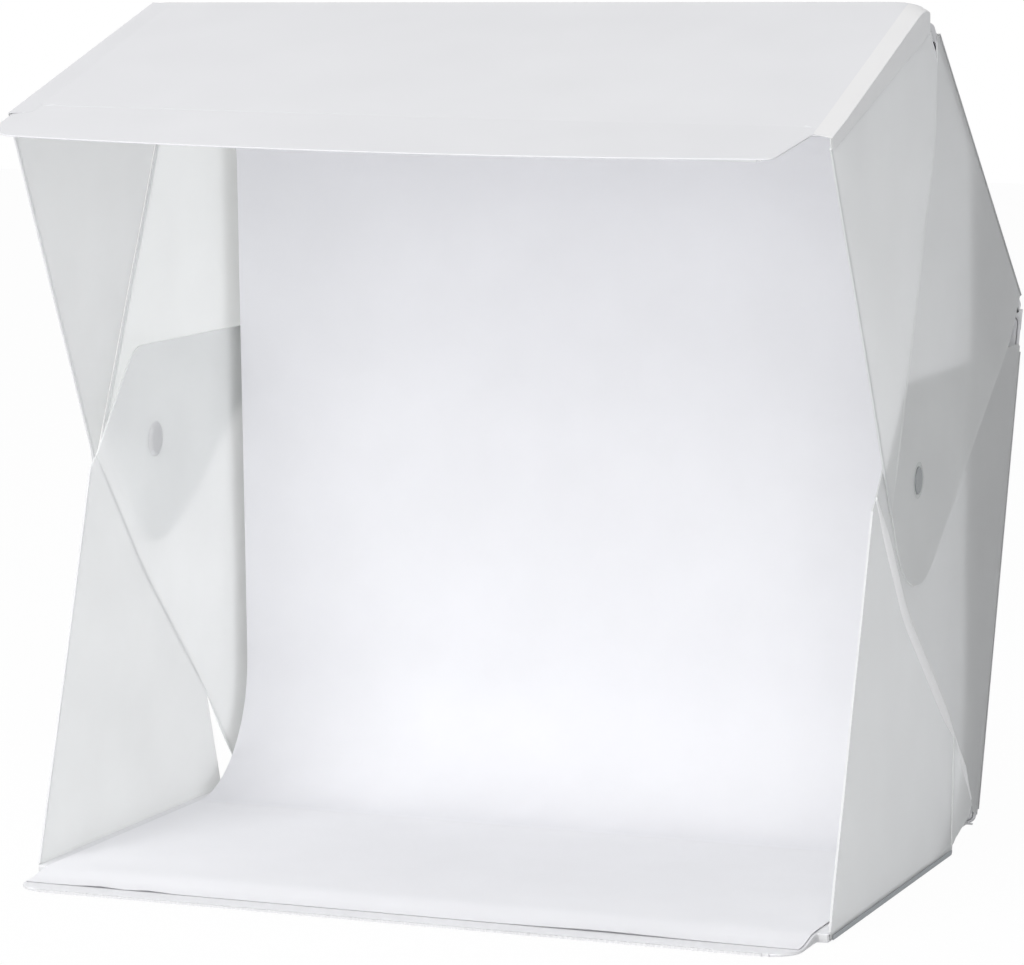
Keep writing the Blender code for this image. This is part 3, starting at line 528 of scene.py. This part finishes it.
def grid_cut(shape, axes, pitch):
    """Cut a shape evenly along axes so that it can bulge."""
    for axis in axes:
        values = [v.co[axis] for v in shape.verts]
        first, last = min(values), max(values)
        count = int((last - first) / pitch)
        cut_across(shape, axis, [first + (last - first) * k / (count + 1) for k in range(1, count + 1)])


def close_cut(shape):
    """Close the open end that a cut left."""
    bmesh.ops.holes_fill(shape, edges=[e for e in shape.edges if e.is_boundary], sides=0)


def new_verts(geometry):
    """The vertices among what an operator made."""
    return [g for g in geometry if isinstance(g, bmesh.types.BMVert)]


def carried(stations, outline):
    """A closed outline carried through a row of frames, one to the next."""
    shape = bmesh.new()
    ring = [shape.verts.new(stations[0] @ Vector(p)) for p in outline]
    edges = [shape.edges.new((ring[n - 1], ring[n])) for n in range(len(ring))]
    for last, new in zip(stations, stations[1:]):
        made = bmesh.ops.extrude_edge_only(shape, edges=edges)["geom"]
        verts = new_verts(made)
        edges = [g for g in made if isinstance(g, bmesh.types.BMEdge) and set(g.verts) <= set(verts)]
        bmesh.ops.transform(shape, matrix=new @ last.inverted(), verts=verts)
    bmesh.ops.holes_fill(shape, edges=shape.edges, sides=0)
    return shape


def bent(points, radius, steps=8):
    """An open line of (y, z) points with its inner corners rounded."""
    line = [Vector(points[0])]
    for before, here, after in zip(points, points[1:], points[2:]):
        here = Vector(here)
        one, two = (Vector(before) - here), (Vector(after) - here)
        reach = min(radius * math.tan((math.pi - one.angle(two)) / 2), one.length * 0.45, two.length * 0.45)
        start, end = here + one.normalized() * reach, here + two.normalized() * reach
        for k in range(steps + 1):
            t = k / steps
            line.append(start * (1 - t) ** 2 + here * 2 * t * (1 - t) + end * t * t)
    return line + [Vector(points[-1])]


def run_lengths(line):
    """Length from the start of a line to each of its points."""
    lengths = [0.0]
    for a, b in zip(line, line[1:]):
        lengths.append(lengths[-1] + (b - a).length)
    return lengths


def spaced(line, pitch):
    """The same line with points at even distances."""
    lengths = run_lengths(line)
    count = max(2, round(lengths[-1] / pitch))
    found, n = [], 0
    for k in range(count + 1):
        want = lengths[-1] * k / count
        while n < len(line) - 2 and lengths[n + 1] < want:
            n += 1
        share = (want - lengths[n]) / max(1e-9, lengths[n + 1] - lengths[n])
        found.append(line[n].lerp(line[n + 1], min(1, share)))
    return found


def heading(line, n):
    """Direction of a line at one of its points."""
    return (line[min(n + 1, len(line) - 1)] - line[max(n - 1, 0)]).normalized()


def frames_on(line, x, bulge=None, swell=None):
    """Frames along a line in a side sheet's plane: local X stays across the sheet, local Y in its plane."""
    found = []
    for n, here in enumerate(line):
        ahead = heading(line, n)
        run = Vector((0, ahead.x, ahead.y))
        across = Vector((1, 0, 0))
        turn = Matrix((across, run.cross(across), run)).transposed().to_4x4()
        out = bulge(here.x, here.y) if bulge else 0.0
        size = swell(n, len(line)) if swell else 1.0
        found.append(Matrix.Translation((x + out, here.x, here.y)) @ turn
                     @ Matrix.Diagonal((size, size, 1, 1)))
    return found


# ---------------------------------------------------------------- side sheets

SPLAY, SPLAY_RUN = 8.7 * MM, 48 * MM  # how far the left upper sheet swings out, and where that dies away
SLACK = 0.8 * MM                      # unevenness of the film
CALM_MAGNET, CALM_HINGE = 60 * MM, 45 * MM             # distances over which the unevenness sets in


def crease_at(z):
    """y of the upper crease at a height."""
    line = [SLIT_TIP, CREASE_BEND, UPPER_VERTEX]
    for (y1, z1), (y2, z2) in zip(line, line[1:]):
        if z >= z2:
            return y1 + (y2 - y1) * (z1 - z) / (z1 - z2)
    return UPPER_VERTEX[0]


def splay(word, y, z):
    """How far a point of an upper side sheet stands out: the left one swings out towards its free edge."""
    reach = SPLAY if word == "left" else 0.0
    drop = seen_from(TOP, y, z)[1]
    behind = y - crease_at(z)
    return reach * min(1.1, max(0.0, drop / FLANK_DROP)) * ease(1 - behind / SPLAY_RUN)


def slack(word, y, z):
    """Soft unevenness of the film, none at its hinges or at the magnets."""
    away = min(1.0, ((y - MAGNET[0]) ** 2 + (z - MAGNET[1]) ** 2) ** 0.5 / CALM_MAGNET)
    seed = 3.7 if word == "left" else 8.1
    return SLACK * away * cloud.noise(Vector((seed, y * 9, z * 9)))


def hinge_hold(panel, y, z):
    """0 on the hinge line of a panel and 1 well away from it."""
    return ease(abs(seen_from(panel, y, z)[1]) / CALM_HINGE)


def reach_out(shape, panel, side, upper):
    """The welded edge of a side sheet runs on over the side of its panel, almost to the outer face."""
    edge = min(seen_from(panel, v.co.y, v.co.z)[1] for v in shape.verts)
    normal = inward_of(panel)
    reach = (3.4 if panel is BASE else 4.3) * MM
    for step in (0.25 * MM, 1.3 * MM):
        cut(shape, (0, *placed(panel, 0, edge + step)), normal)
    for vert in shape.verts:
        inward = seen_from(panel, vert.co.y, vert.co.z)[1]
        if inward < edge + 0.3 * MM:
            if not upper:
                outer = abs(vert.co.x) > LOWER_INNER + FILM / 2
                vert.co.x += side * (0.24 if outer else 0.56) * MM
            if inward < edge + 0.1 * MM:
                vert.co -= normal * reach


def flatten(made):
    """Gives a piece its own copy of its mesh."""
    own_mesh(made)


def side_sheet(node, panel, word, side, upper):
    """One film of a flank, slightly uneven: the left upper films ride on their own body, the others are baked
    in place on no body.
    """
    shape = cad_shape(node)
    soften(shape, 0.28 * MM, 2, 60)
    grid_cut(shape, (1, 2), 9 * MM)
    for vert in shape.verts:
        y, z = vert.co.y, vert.co.z
        out = slack(word, y, z) * hinge_hold(panel, y, z)
        if upper:
            out = abs(out) + splay(word, y, z)
            if word == "left" and panel is TOP:
                out += 1.5 * MM * ease(1 - (crease_at(z) - y) / (13 * MM)) * hinge_hold(panel, y, z)
        vert.co.x += side * out if upper else -side * abs(out)
    reach_out(shape, panel, side, upper)
    own = nodes[node]["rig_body"]
    pressed = upper and word == "left"
    made = piece(node.replace("film", "sheet"), shape, SHEET_PAINTED_TONES[node], own if pressed else None, [node],
                 sharp=50)
    if pressed:
        flatten(made)
    else:
        names = {id(BASE): "base", id(LOWER): "lower_back", id(UPPER): "upper_back", id(TOP): "top"}
        names[id(panel)]
        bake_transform(made)


def crease_bead(name, line, x, side, body, finish, half=1.7, rise=0.85, bulge=None):
    """Soft rounded fold along a crease, thicker on the outside."""
    outline, corners = [], 24
    for k in range(corners):
        angle = 2 * math.pi * k / corners
        depth = rise if math.cos(angle) * side > 0 else 0.5
        outline.append((math.cos(angle) * depth * MM, math.sin(angle) * half * MM, 0))

    def swell(n, count):
        return 0.35 + 0.65 * ease(min(n, count - 1 - n) / 5)

    stations = frames_on(spaced(line, 6 * MM), x, bulge, swell)
    made = piece(name, carried(stations, outline), finish, body, sharp=80)
    flatten(made)


def weld_rim(name, line, x, body, finish, pitch=0, bulge=None):
    """Thin welded rim along a free edge. With a pitch it has a row of small weld marks."""
    outline = [(-0.55, -0.7), (0.55, -0.7), (0.6, 0.1), (0.3, 0.55), (-0.3, 0.55), (-0.6, 0.1)]
    outline = [(across * MM, out * MM, 0) for across, out in outline]

    def mark(n, _count):
        return 0.82 if n % 2 else 1.08

    stations = frames_on(spaced(line, pitch or 8 * MM), x, bulge, mark if pitch else None)
    made = piece(name, carried(stations, outline), finish, body)
    flatten(made)


def heel_gusset():
    """The film facet that closes the right rear corner between the base and the lower back."""
    corner, tip, heel = (SHEET_END - SHIFT, 7 * MM), HOLE_TIPS["right"], HEELS["right"]
    points = [(tip[0] - 4 * MM, tip[1] + 3 * MM), (heel[0] + 1 * MM, heel[1] - 3 * MM),
              (heel[0] - 6 * MM, heel[1] - 8 * MM), (corner[0] - 4 * MM, corner[1] - 2 * MM)]
    shape = bmesh.new()
    face = shape.faces.new([shape.verts.new((LOWER_INNER + FILM + 0.05 * MM, y, z)) for y, z in points])
    made = bmesh.ops.extrude_face_region(shape, geom=[face])["geom"]
    bmesh.ops.translate(shape, vec=(0.5 * MM, 0, 0), verts=new_verts(made))
    bmesh.ops.bevel(shape, geom=shape.edges[:], offset=0.12 * MM, segments=1, profile=0.5, affect="EDGES",
                    material=-1)
    piece("heel_gusset", shape, frosted, "lower_rear_side_right")


def make_flank(word, side):
    """The four sheets of one side, their folds and their welded rims."""
    for node, panel, upper in (("upper_front_film_", TOP, True), ("upper_rear_film_", UPPER, True),
                               ("lower_front_film_", BASE, False), ("lower_rear_film_", LOWER, False)):
        side_sheet(node + word, panel, word, side, upper)

    def stand(y, z):
        return side * (splay(word, y, z) + abs(slack(word, y, z)) * hinge_hold(TOP, y, z))

    def sink(y, z):
        return -side * abs(slack(word, y, z)) * hinge_hold(BASE, y, z)

    middle = UPPER_INNER + FILM / 2
    low = LOWER_INNER + FILM / 2 + (0.3 * MM if side > 0 else 0)
    upper_line = bent([SLIT_TIP, CREASE_BEND, UPPER_VERTEX], 60 * MM)
    crease_bead("upper_crease_" + word, upper_line, side * middle, side, "upper_front_side_" + word, frosted,
                1.3, bulge=stand)
    # On the right the lower creases get the wide bead in the brighter film, a painted highlight; the left
    # ones stay plain frosted.
    low_fold = (crease_painted_highlight, 3.2, 1.7) if side > 0 else (frosted, 1.1, 0.7)
    lower_line = bent([LOWER_VERTEX, LOWER_BEND, HOLE_TIPS[word]], 120 * MM)
    crease_bead("lower_crease_" + word, lower_line, side * low, side, "lower_front_side_" + word, *low_fold,
                sink)
    tail = [Vector(HOLE_TIPS[word]), Vector(HEELS[word])]
    crease_bead("heel_crease_" + word, tail, side * low, side, "lower_rear_side_" + word, *low_fold, sink)
    corner = placed(TOP, TOP_FRONT, -1.9 * MM)
    line = [Vector(corner), Vector(UPPER_VERTEX)]
    # The right upper rim takes the dimmer copy of the rim film: painted shade.
    weld_rim("upper_front_rim_" + word, line, side * middle, "upper_front_side_" + word,
             rim_white if side < 0 else rim_painted_shade, 0, stand)
    blunt = (LOWER_VERTEX[0] - 6 * MM, LOWER_VERTEX[1] - 5 * MM)
    line = [Vector((-SHIFT, 4.6 * MM)), Vector(blunt)]
    weld_rim("lower_front_rim_" + word, line, side * low, "lower_front_side_" + word,
             rim_white, WELD_MARK, sink)


POCKET_RISE, POCKET_RADIUS = 1.25 * MM, 9 * MM


def magnet_pocket(word, side, which, body, x):
    """Shallow film dome that seals a magnet into its sheet."""
    out = side if which == "upper" else -side
    shape = bmesh.new()
    bmesh.ops.create_uvsphere(shape, u_segments=36, v_segments=16, radius=1)
    bmesh.ops.transform(shape, matrix=Matrix.Rotation(math.radians(90), 4, "Y"), verts=shape.verts)
    cut(shape, (0, 0, 0), (out, 0, 0), clear_inner=True)
    close_cut(shape)
    for vert in shape.verts:
        if abs(vert.co.x) > 1e-6:
            vert.co.x = out * (1 - min(1, vert.co.y ** 2 + vert.co.z ** 2) ** 2) ** 1.5
    bmesh.ops.scale(shape, vec=(POCKET_RISE, POCKET_RADIUS, POCKET_RADIUS), verts=shape.verts)
    bmesh.ops.translate(shape, vec=(x, *MAGNET), verts=shape.verts)
    piece(which + "_magnet_pocket_" + word, shape, upper_pocket if which == "upper" else lower_pocket, body)


# ---------------------------------------------------------------- panels

HALF_WIDTH, LOWER_HALF_WIDTH = 190.5 * MM, 189.4 * MM  # of the top and upper back, and of the lower back
TOP_LIFT = 8.2 * MM                   # how far the top's rear right corner stands up
ROUNDED_SIDE = 17 * MM                # width of the rounding along the top's right side
CUTS_ACROSS = (-184, -179, -174, -168, 168, 174, 179, 183.5, 187, 189.4)
CUTS_BACK = (-6, -10, -15, -21)
LIP_THINNER, LIP_RUN = 2.6 * MM, 20 * MM               # how the base gets thinner towards its front
COVER_ROUND, LINING_ROUND = 0.9 * MM, 0.3 * MM         # rounding of the panels' outer and inner films


def lift_top(shape):
    """The outer face of the top stands up towards its rear right corner, with a rounded right side."""
    grid_cut(shape, (0, 1), 26 * MM)
    cut_across(shape, 0, [mark * MM for mark in CUTS_ACROSS])
    cut_across(shape, 1, [mark * MM for mark in CUTS_BACK])
    up = -inward_of(TOP)
    for vert in shape.verts:
        along, inward = seen_from(TOP, vert.co.y, vert.co.z)
        if inward < PANEL_OUTER + 2 * MM:
            across = clamped((vert.co.x + HALF_WIDTH) / (2 * HALF_WIDTH))
            back = clamped(1 - along / LIP_ROOT)
            rest = HALF_WIDTH + 0.8 * MM - vert.co.x
            corner = clamped((rest + max(0.0, along - 3 * MM) * 0.7) / ROUNDED_SIDE)
            vert.co += up * TOP_LIFT * across * back * (0.1 + 0.9 * math.sqrt(1 - (1 - corner) ** 2))


def make_top_cover():
    """Outer film of the top, turned over at the sides and running on in front as the thin lip."""
    shape = cad_shape("top_skin")
    front = LIP_ROOT - GAP

    def outer_edge(edge):
        places = [seen_from(TOP, v.co.y, v.co.z) for v in edge.verts]
        at_front = all(abs(p[0] - front) < HAIR for p in places)
        return all(abs(p[1] - PANEL_OUTER) < HAIR for p in places) and not at_front

    def at_root(vert):
        return seen_from(TOP, vert.co.y, vert.co.z)[0] < LIP_ROOT + HAIR

    soften(shape, COVER_ROUND, 3, 40, outer_edge)
    lip = cad_shape("top_lip")
    soften(lip, 0.28 * MM, 2, 60, lambda e: not all(at_root(v) for v in e.verts))
    back = Vector((0, *placed(TOP, 0, 0))) - Vector((0, *placed(TOP, 1, 0)))
    for vert in lip.verts:
        if at_root(vert):
            vert.co += back * 3 * MM + inward_of(TOP) * 0.1 * MM
    mesh = bpy.data.meshes.new("lip")
    lip.to_mesh(mesh)
    lip.free()
    shape.from_mesh(mesh)
    bpy.data.meshes.remove(mesh)
    lift_top(shape)
    piece("top_cover", shape, skin_white, "top", ["top_skin", "top_lip"], sharp=50)


def hem(node, name, panel, outer, side, edge, leg_end):
    """Film band over a panel edge: its inner edge lies down on the panel and its leg on the side sheet."""
    shape = cad_shape(node)
    far = edge + GAP + TAPE
    on_top, top_left = panel is TOP, panel is TOP and side < 0
    short = (4.6 if top_left else 0 if on_top else 6.1) * MM
    low = 0.72 if top_left else 0.28
    soften(shape, 0.35 * MM, 3, 60, lambda e: all(abs(v.co.x) > far - HAIR for v in e.verts))
    normal = inward_of(panel)
    for vert in shape.verts:
        inward = seen_from(panel, vert.co.y, vert.co.z)[1]
        if abs(vert.co.x) < edge - 3 * MM:
            vert.co += normal * (low if inward < outer - 0.5 * MM else low - 0.06) * MM
        if inward > leg_end - 0.7 * MM and abs(vert.co.x) > edge:
            vert.co -= normal * short
            vert.co.x -= side * (0.4 if abs(vert.co.x) > far - 0.2 * MM else 0.2) * MM
    # Faces turned to the side take the second film: painted light on the top's legs, painted shade on the
    # backs' legs.
    for face in shape.faces:
        if abs(face.normal.x) > 0.6 and abs(face.calc_center_median().x) > edge:
            face.material_index = 1
    if on_top:
        lift_top(shape)
    finishes = [skin_white if top_left else hem_white, top_leg_painted_light if on_top else back_leg_painted_shade]
    piece(name, shape, finishes, nodes[node]["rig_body"], [node])


def base_hem(word):
    """Band along the side of the base, laid against the side sheet."""
    node = "base_band_" + word
    shape = cad_shape(node)
    for vert in shape.verts:
        if vert.co.z > PANEL:
            vert.co.z -= 3.4 * MM
    behind = SHEET_END - 5 * MM - SHIFT
    rear = [e for e in shape.edges if all(v.co.y > behind and v.co.z < 1 * MM for v in e.verts)
            and abs(e.verts[0].co.x - e.verts[1].co.x) > 0.1 * MM]
    bmesh.ops.bevel(shape, geom=rear, offset=1.8 * MM, segments=4, profile=0.5, affect="EDGES", material=-1)
    soften(shape, 0.12 * MM, 1, 60)
    piece("base_hem_" + word, shape, shadow_hem, "base", [node])


def lip_drop(y):
    """The base's lip is thinner than its panel: how far its upper face and the sweep come down towards it."""
    return -LIP_THINNER * ease((-SHIFT - 3 * MM - y) / LIP_RUN)


def make_base():
    """Upper cover that comes down to the thin lip in front, and the board that ends behind the lip."""
    shape = cad_shape("base_sheet_upper")
    soften(shape, 0.25 * MM, 2)
    cut_across(shape, 1, [-SHIFT - (2 + 1.8 * k) * MM for k in range(14)])
    for vert in shape.verts:
        vert.co.z += lip_drop(vert.co.y)
    piece("base_cover", shape, liner_white, "base", ["base_sheet_upper"])
    shape = cad_shape("base_board")
    cut(shape, (0, -SHIFT - 3 * MM, 0), (0, -1, 0), clear_outer=True)
    close_cut(shape)
    soften(shape, 0.2 * MM, 1)
    piece("base_core", shape, pressed_board, "base", ["base_board"])


def make_panels():
    """Covers, linings and hems of base, back and top."""
    make_base()
    make_top_cover()
    for word in ("upper_back", "lower_back"):
        rounded_copy(word + "_skin", word + "_cover", skin_white, COVER_ROUND, 3)
        rounded_copy(word + "_liner", word + "_lining", liner_white, LINING_ROUND, 3)
    rounded_copy("top_liner", "top_lining", liner_white, LINING_ROUND, 3)
    rounded_copy("base_sheet_lower", "base_cover_under", skin_white, LINING_ROUND, 3)
    for word, side in SIDES:
        for part, panel, outer, edge, leg_end in (
                ("top", TOP, PANEL_OUTER, HALF_WIDTH, -0.2 * MM),
                ("upper_back", UPPER, 0.8 * MM, HALF_WIDTH, 6.8 * MM),
                ("lower_back", LOWER, PANEL_OUTER, LOWER_HALF_WIDTH, -0.2 * MM)):
            hem(f"{part}_band_{word}", f"{part}_hem_{word}", panel, outer, side, edge, leg_end)
        base_hem(word)


def weld_along_base():
    """Welded edge that closes the lip of the base all round, with a fine row of marks along its front."""
    rim = sorted({(round(v.co.x, 5), round(v.co.y, 5)) for v in nodes["base_sheet_upper"].data.vertices
                  if v.co.y < -SHIFT - 0.5 * MM}, key=lambda p: p[0] - p[1] if p[0] < 0 else p[0] + p[1])
    line = spaced([Vector(p) for p in rim], WELD_MARK)
    outline = [(-1.4, 0.1), (0, 0.1), (0.15, 0.3), (0.25, 0.5), (0.15, 0.7), (0, 0.9), (-1.4, 0.9)]
    stations = []
    for n, here in enumerate(line):
        ahead = heading(line, n)
        outward = Vector((ahead.y, -ahead.x, 0))
        turn = Matrix((outward, Vector((0, 0, 1)), Vector((-ahead.x, -ahead.y, 0)))).transposed().to_4x4()
        mark = 0.6 if n % 2 and abs(here.x) < 172 * MM else 1.0
        tall = PANEL + lip_drop(here.y)
        stations.append(Matrix.Translation((here.x, here.y, 0)) @ turn
                        @ Matrix.Diagonal((mark * MM, tall, 1, 1)))
    shape = carried(stations, [(out, up, 0) for out, up in outline])
    piece("base_edge_weld", shape, rim_white, "base", ["base_front_weld"])


# ---------------------------------------------------------------- sweep

SWEEP_HALF = 183 * MM
SWEEP_FILM = 0.5 * MM
SWEEP_LIE = 6.85 * MM                 # in front of the upper back's hinge plane
SWEEP_LEVEL = 4.55 * MM               # above the floor
SWEEP_HEAD, SWEEP_BEND = 231 * MM, 142 * MM            # along the upper back
SWEEP_FOOT, SWEEP_FRONT = 237.5 * MM - SHIFT, -27 * MM - SHIFT
FLOOR_RIPPLES = ((-148 * MM, 8 * MM), (-120 * MM, 6 * MM), (95 * MM, 30 * MM))  # middle and width


def arc_bend(before, here, after, radius, steps):
    """Points of the arc that rounds a corner."""
    one, two = (before - here).normalized(), (after - here).normalized()
    half = one.angle(two) / 2
    centre = here + (one + two).normalized() * radius / math.sin(half)
    start, end = here + one * radius / math.tan(half) - centre, here + two * radius / math.tan(half) - centre
    turn = start.angle_signed(end)
    return [centre + Matrix.Rotation(-turn * k / steps, 2) @ start for k in range(steps + 1)]


def laid_sheet(name, line, finish, wave):
    """A flat sheet laid along a line, with a little waviness across it."""
    lengths = run_lengths(line)
    total = lengths[-1]
    shape = bmesh.new()
    rows = max(8, round(total / (6 * MM)))
    bmesh.ops.create_grid(shape, x_segments=30, y_segments=rows, size=0.5)
    for vert in shape.verts:
        run = (vert.co.y + 0.5) * total
        n = max(k for k in range(len(line) - 1) if lengths[k] <= run + 1e-9)
        ahead = (line[n + 1] - line[n]).normalized()
        here = line[n] + ahead * (run - lengths[n])
        across = 2 * vert.co.x * SWEEP_HALF
        lift = wave(across, run, total)
        side = Vector((-ahead.y, ahead.x))
        vert.co = (across, here.x + side.x * lift, here.y + side.y * lift + 1.1 * lip_drop(here.x))
    made = piece(name, shape, finish, None, sharp=60, weighted=False)
    thick = made.modifiers.new("film", "SOLIDIFY")
    thick.thickness = SWEEP_FILM
    thick.offset = 0
    made.modifiers.new("even", "WEIGHTED_NORMAL")
    return made, total


def make_sweep():
    """The sweep in two pieces: one hangs in front of the upper back and bends down to the base, one lies on
    the base and rides on it.
    """
    head = Vector(placed(UPPER, SWEEP_HEAD, SWEEP_LIE))
    bend = Vector(placed(UPPER, SWEEP_BEND, SWEEP_LIE))
    foot = Vector((SWEEP_FOOT, SWEEP_LEVEL))
    front = Vector((SWEEP_FRONT, SWEEP_LEVEL))
    line = [head] + arc_bend(head, bend, foot, 28 * MM, 16) + arc_bend(bend, foot, front, 60 * MM, 24)
    join = line[-1]

    def hanging_wave(across, run, total):
        calm = ease(run / (60 * MM)) * ease((total - run) / (60 * MM))
        return 0.5 * MM * calm * cloud.noise(Vector((across * 6, run * 5, 2.2)))

    hanging, length = laid_sheet("sweep_back", line, sweep_white, hanging_wave)
    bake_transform(hanging)
    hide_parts("sweep_head", "sweep_drop")

    def floor_wave(across, run, total):
        near = ease(1 - (total - run) / (14 * MM))
        return -0.7 * MM * near * sum(math.exp(-((across - at) / wide) ** 2) for at, wide in FLOOR_RIPPLES)

    # The part on the base takes the lighter copy of the sweep's film: painted light.
    laid, length = laid_sheet("sweep_on_base", [join, front], sweep_floor_painted_light, floor_wave)
    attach(laid, "base")
    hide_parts("sweep_floor")


# ---------------------------------------------------------------- small parts

INLET_MIDDLE, INLET_SHARE = -3.3 * MM, 0.55            # the inlet is flatter than its solid


def make_small_parts():
    """Magnets in their pockets, hook pads, light bar and power inlet."""
    for word, side in SIDES:
        for which in ("upper", "lower"):
            rounded_copy(f"{which}_magnet_{word}", f"{which}_disc_magnet_{word}", satin_nickel, 0.3 * MM)
        magnet_pocket(word, side, "upper", "upper_rear_side_" + word, side * (UPPER_INNER + FILM - 0.1 * MM))
        magnet_pocket(word, side, "lower", "lower_rear_side_" + word, side * (LOWER_INNER + 0.1 * MM))
        rounded_copy("light_bar_cap_" + word, "light_bar_end_" + word, cap_white, 0.3 * MM)
        rounded_copy("sweep_pad_" + word, "hook_pad_" + word, hook_grey, 0.2 * MM)
        rounded_copy("light_bar_pad_" + word, "foam_pad_" + word, foam_grey, 0.15 * MM)
    rounded_copy("light_bar_channel", "light_bar_body", satin_alloy, 0.2 * MM)
    rounded_copy("light_bar_cover", "light_bar_diffuser", milky, 0.2 * MM)
    shape = cad_shape("power_inlet")
    for vert in shape.verts:
        along, inward = seen_from(TOP, vert.co.y, vert.co.z)
        vert.co = (vert.co.x, *placed(TOP, along, INLET_MIDDLE + (inward - INLET_MIDDLE) * INLET_SHARE))
    soften(shape, 0.12 * MM, 2)
    piece("power_socket", shape, inlet_black, nodes["power_inlet"]["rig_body"], ["power_inlet"])


KEPT = {      # solids that are shown as they are
    hem_frosted: ("spine_film", "spine_hinge_bead", "middle_hinge_strip", "top_hinge_strip"),
    pressed_board: ("lower_back_board", "upper_back_board", "top_board"),
    circuit_white: ("light_bar_chips",),
}
for finish, names in KEPT.items():
    for name in names:
        nodes[name].data.materials.clear()
        nodes[name].data.materials.append(finish)

for word, side in SIDES:
    make_flank(word, side)
heel_gusset()
make_panels()
weld_along_base()
make_sweep()
make_small_parts()

bpy.context.scene.view_settings.view_transform = "Standard"
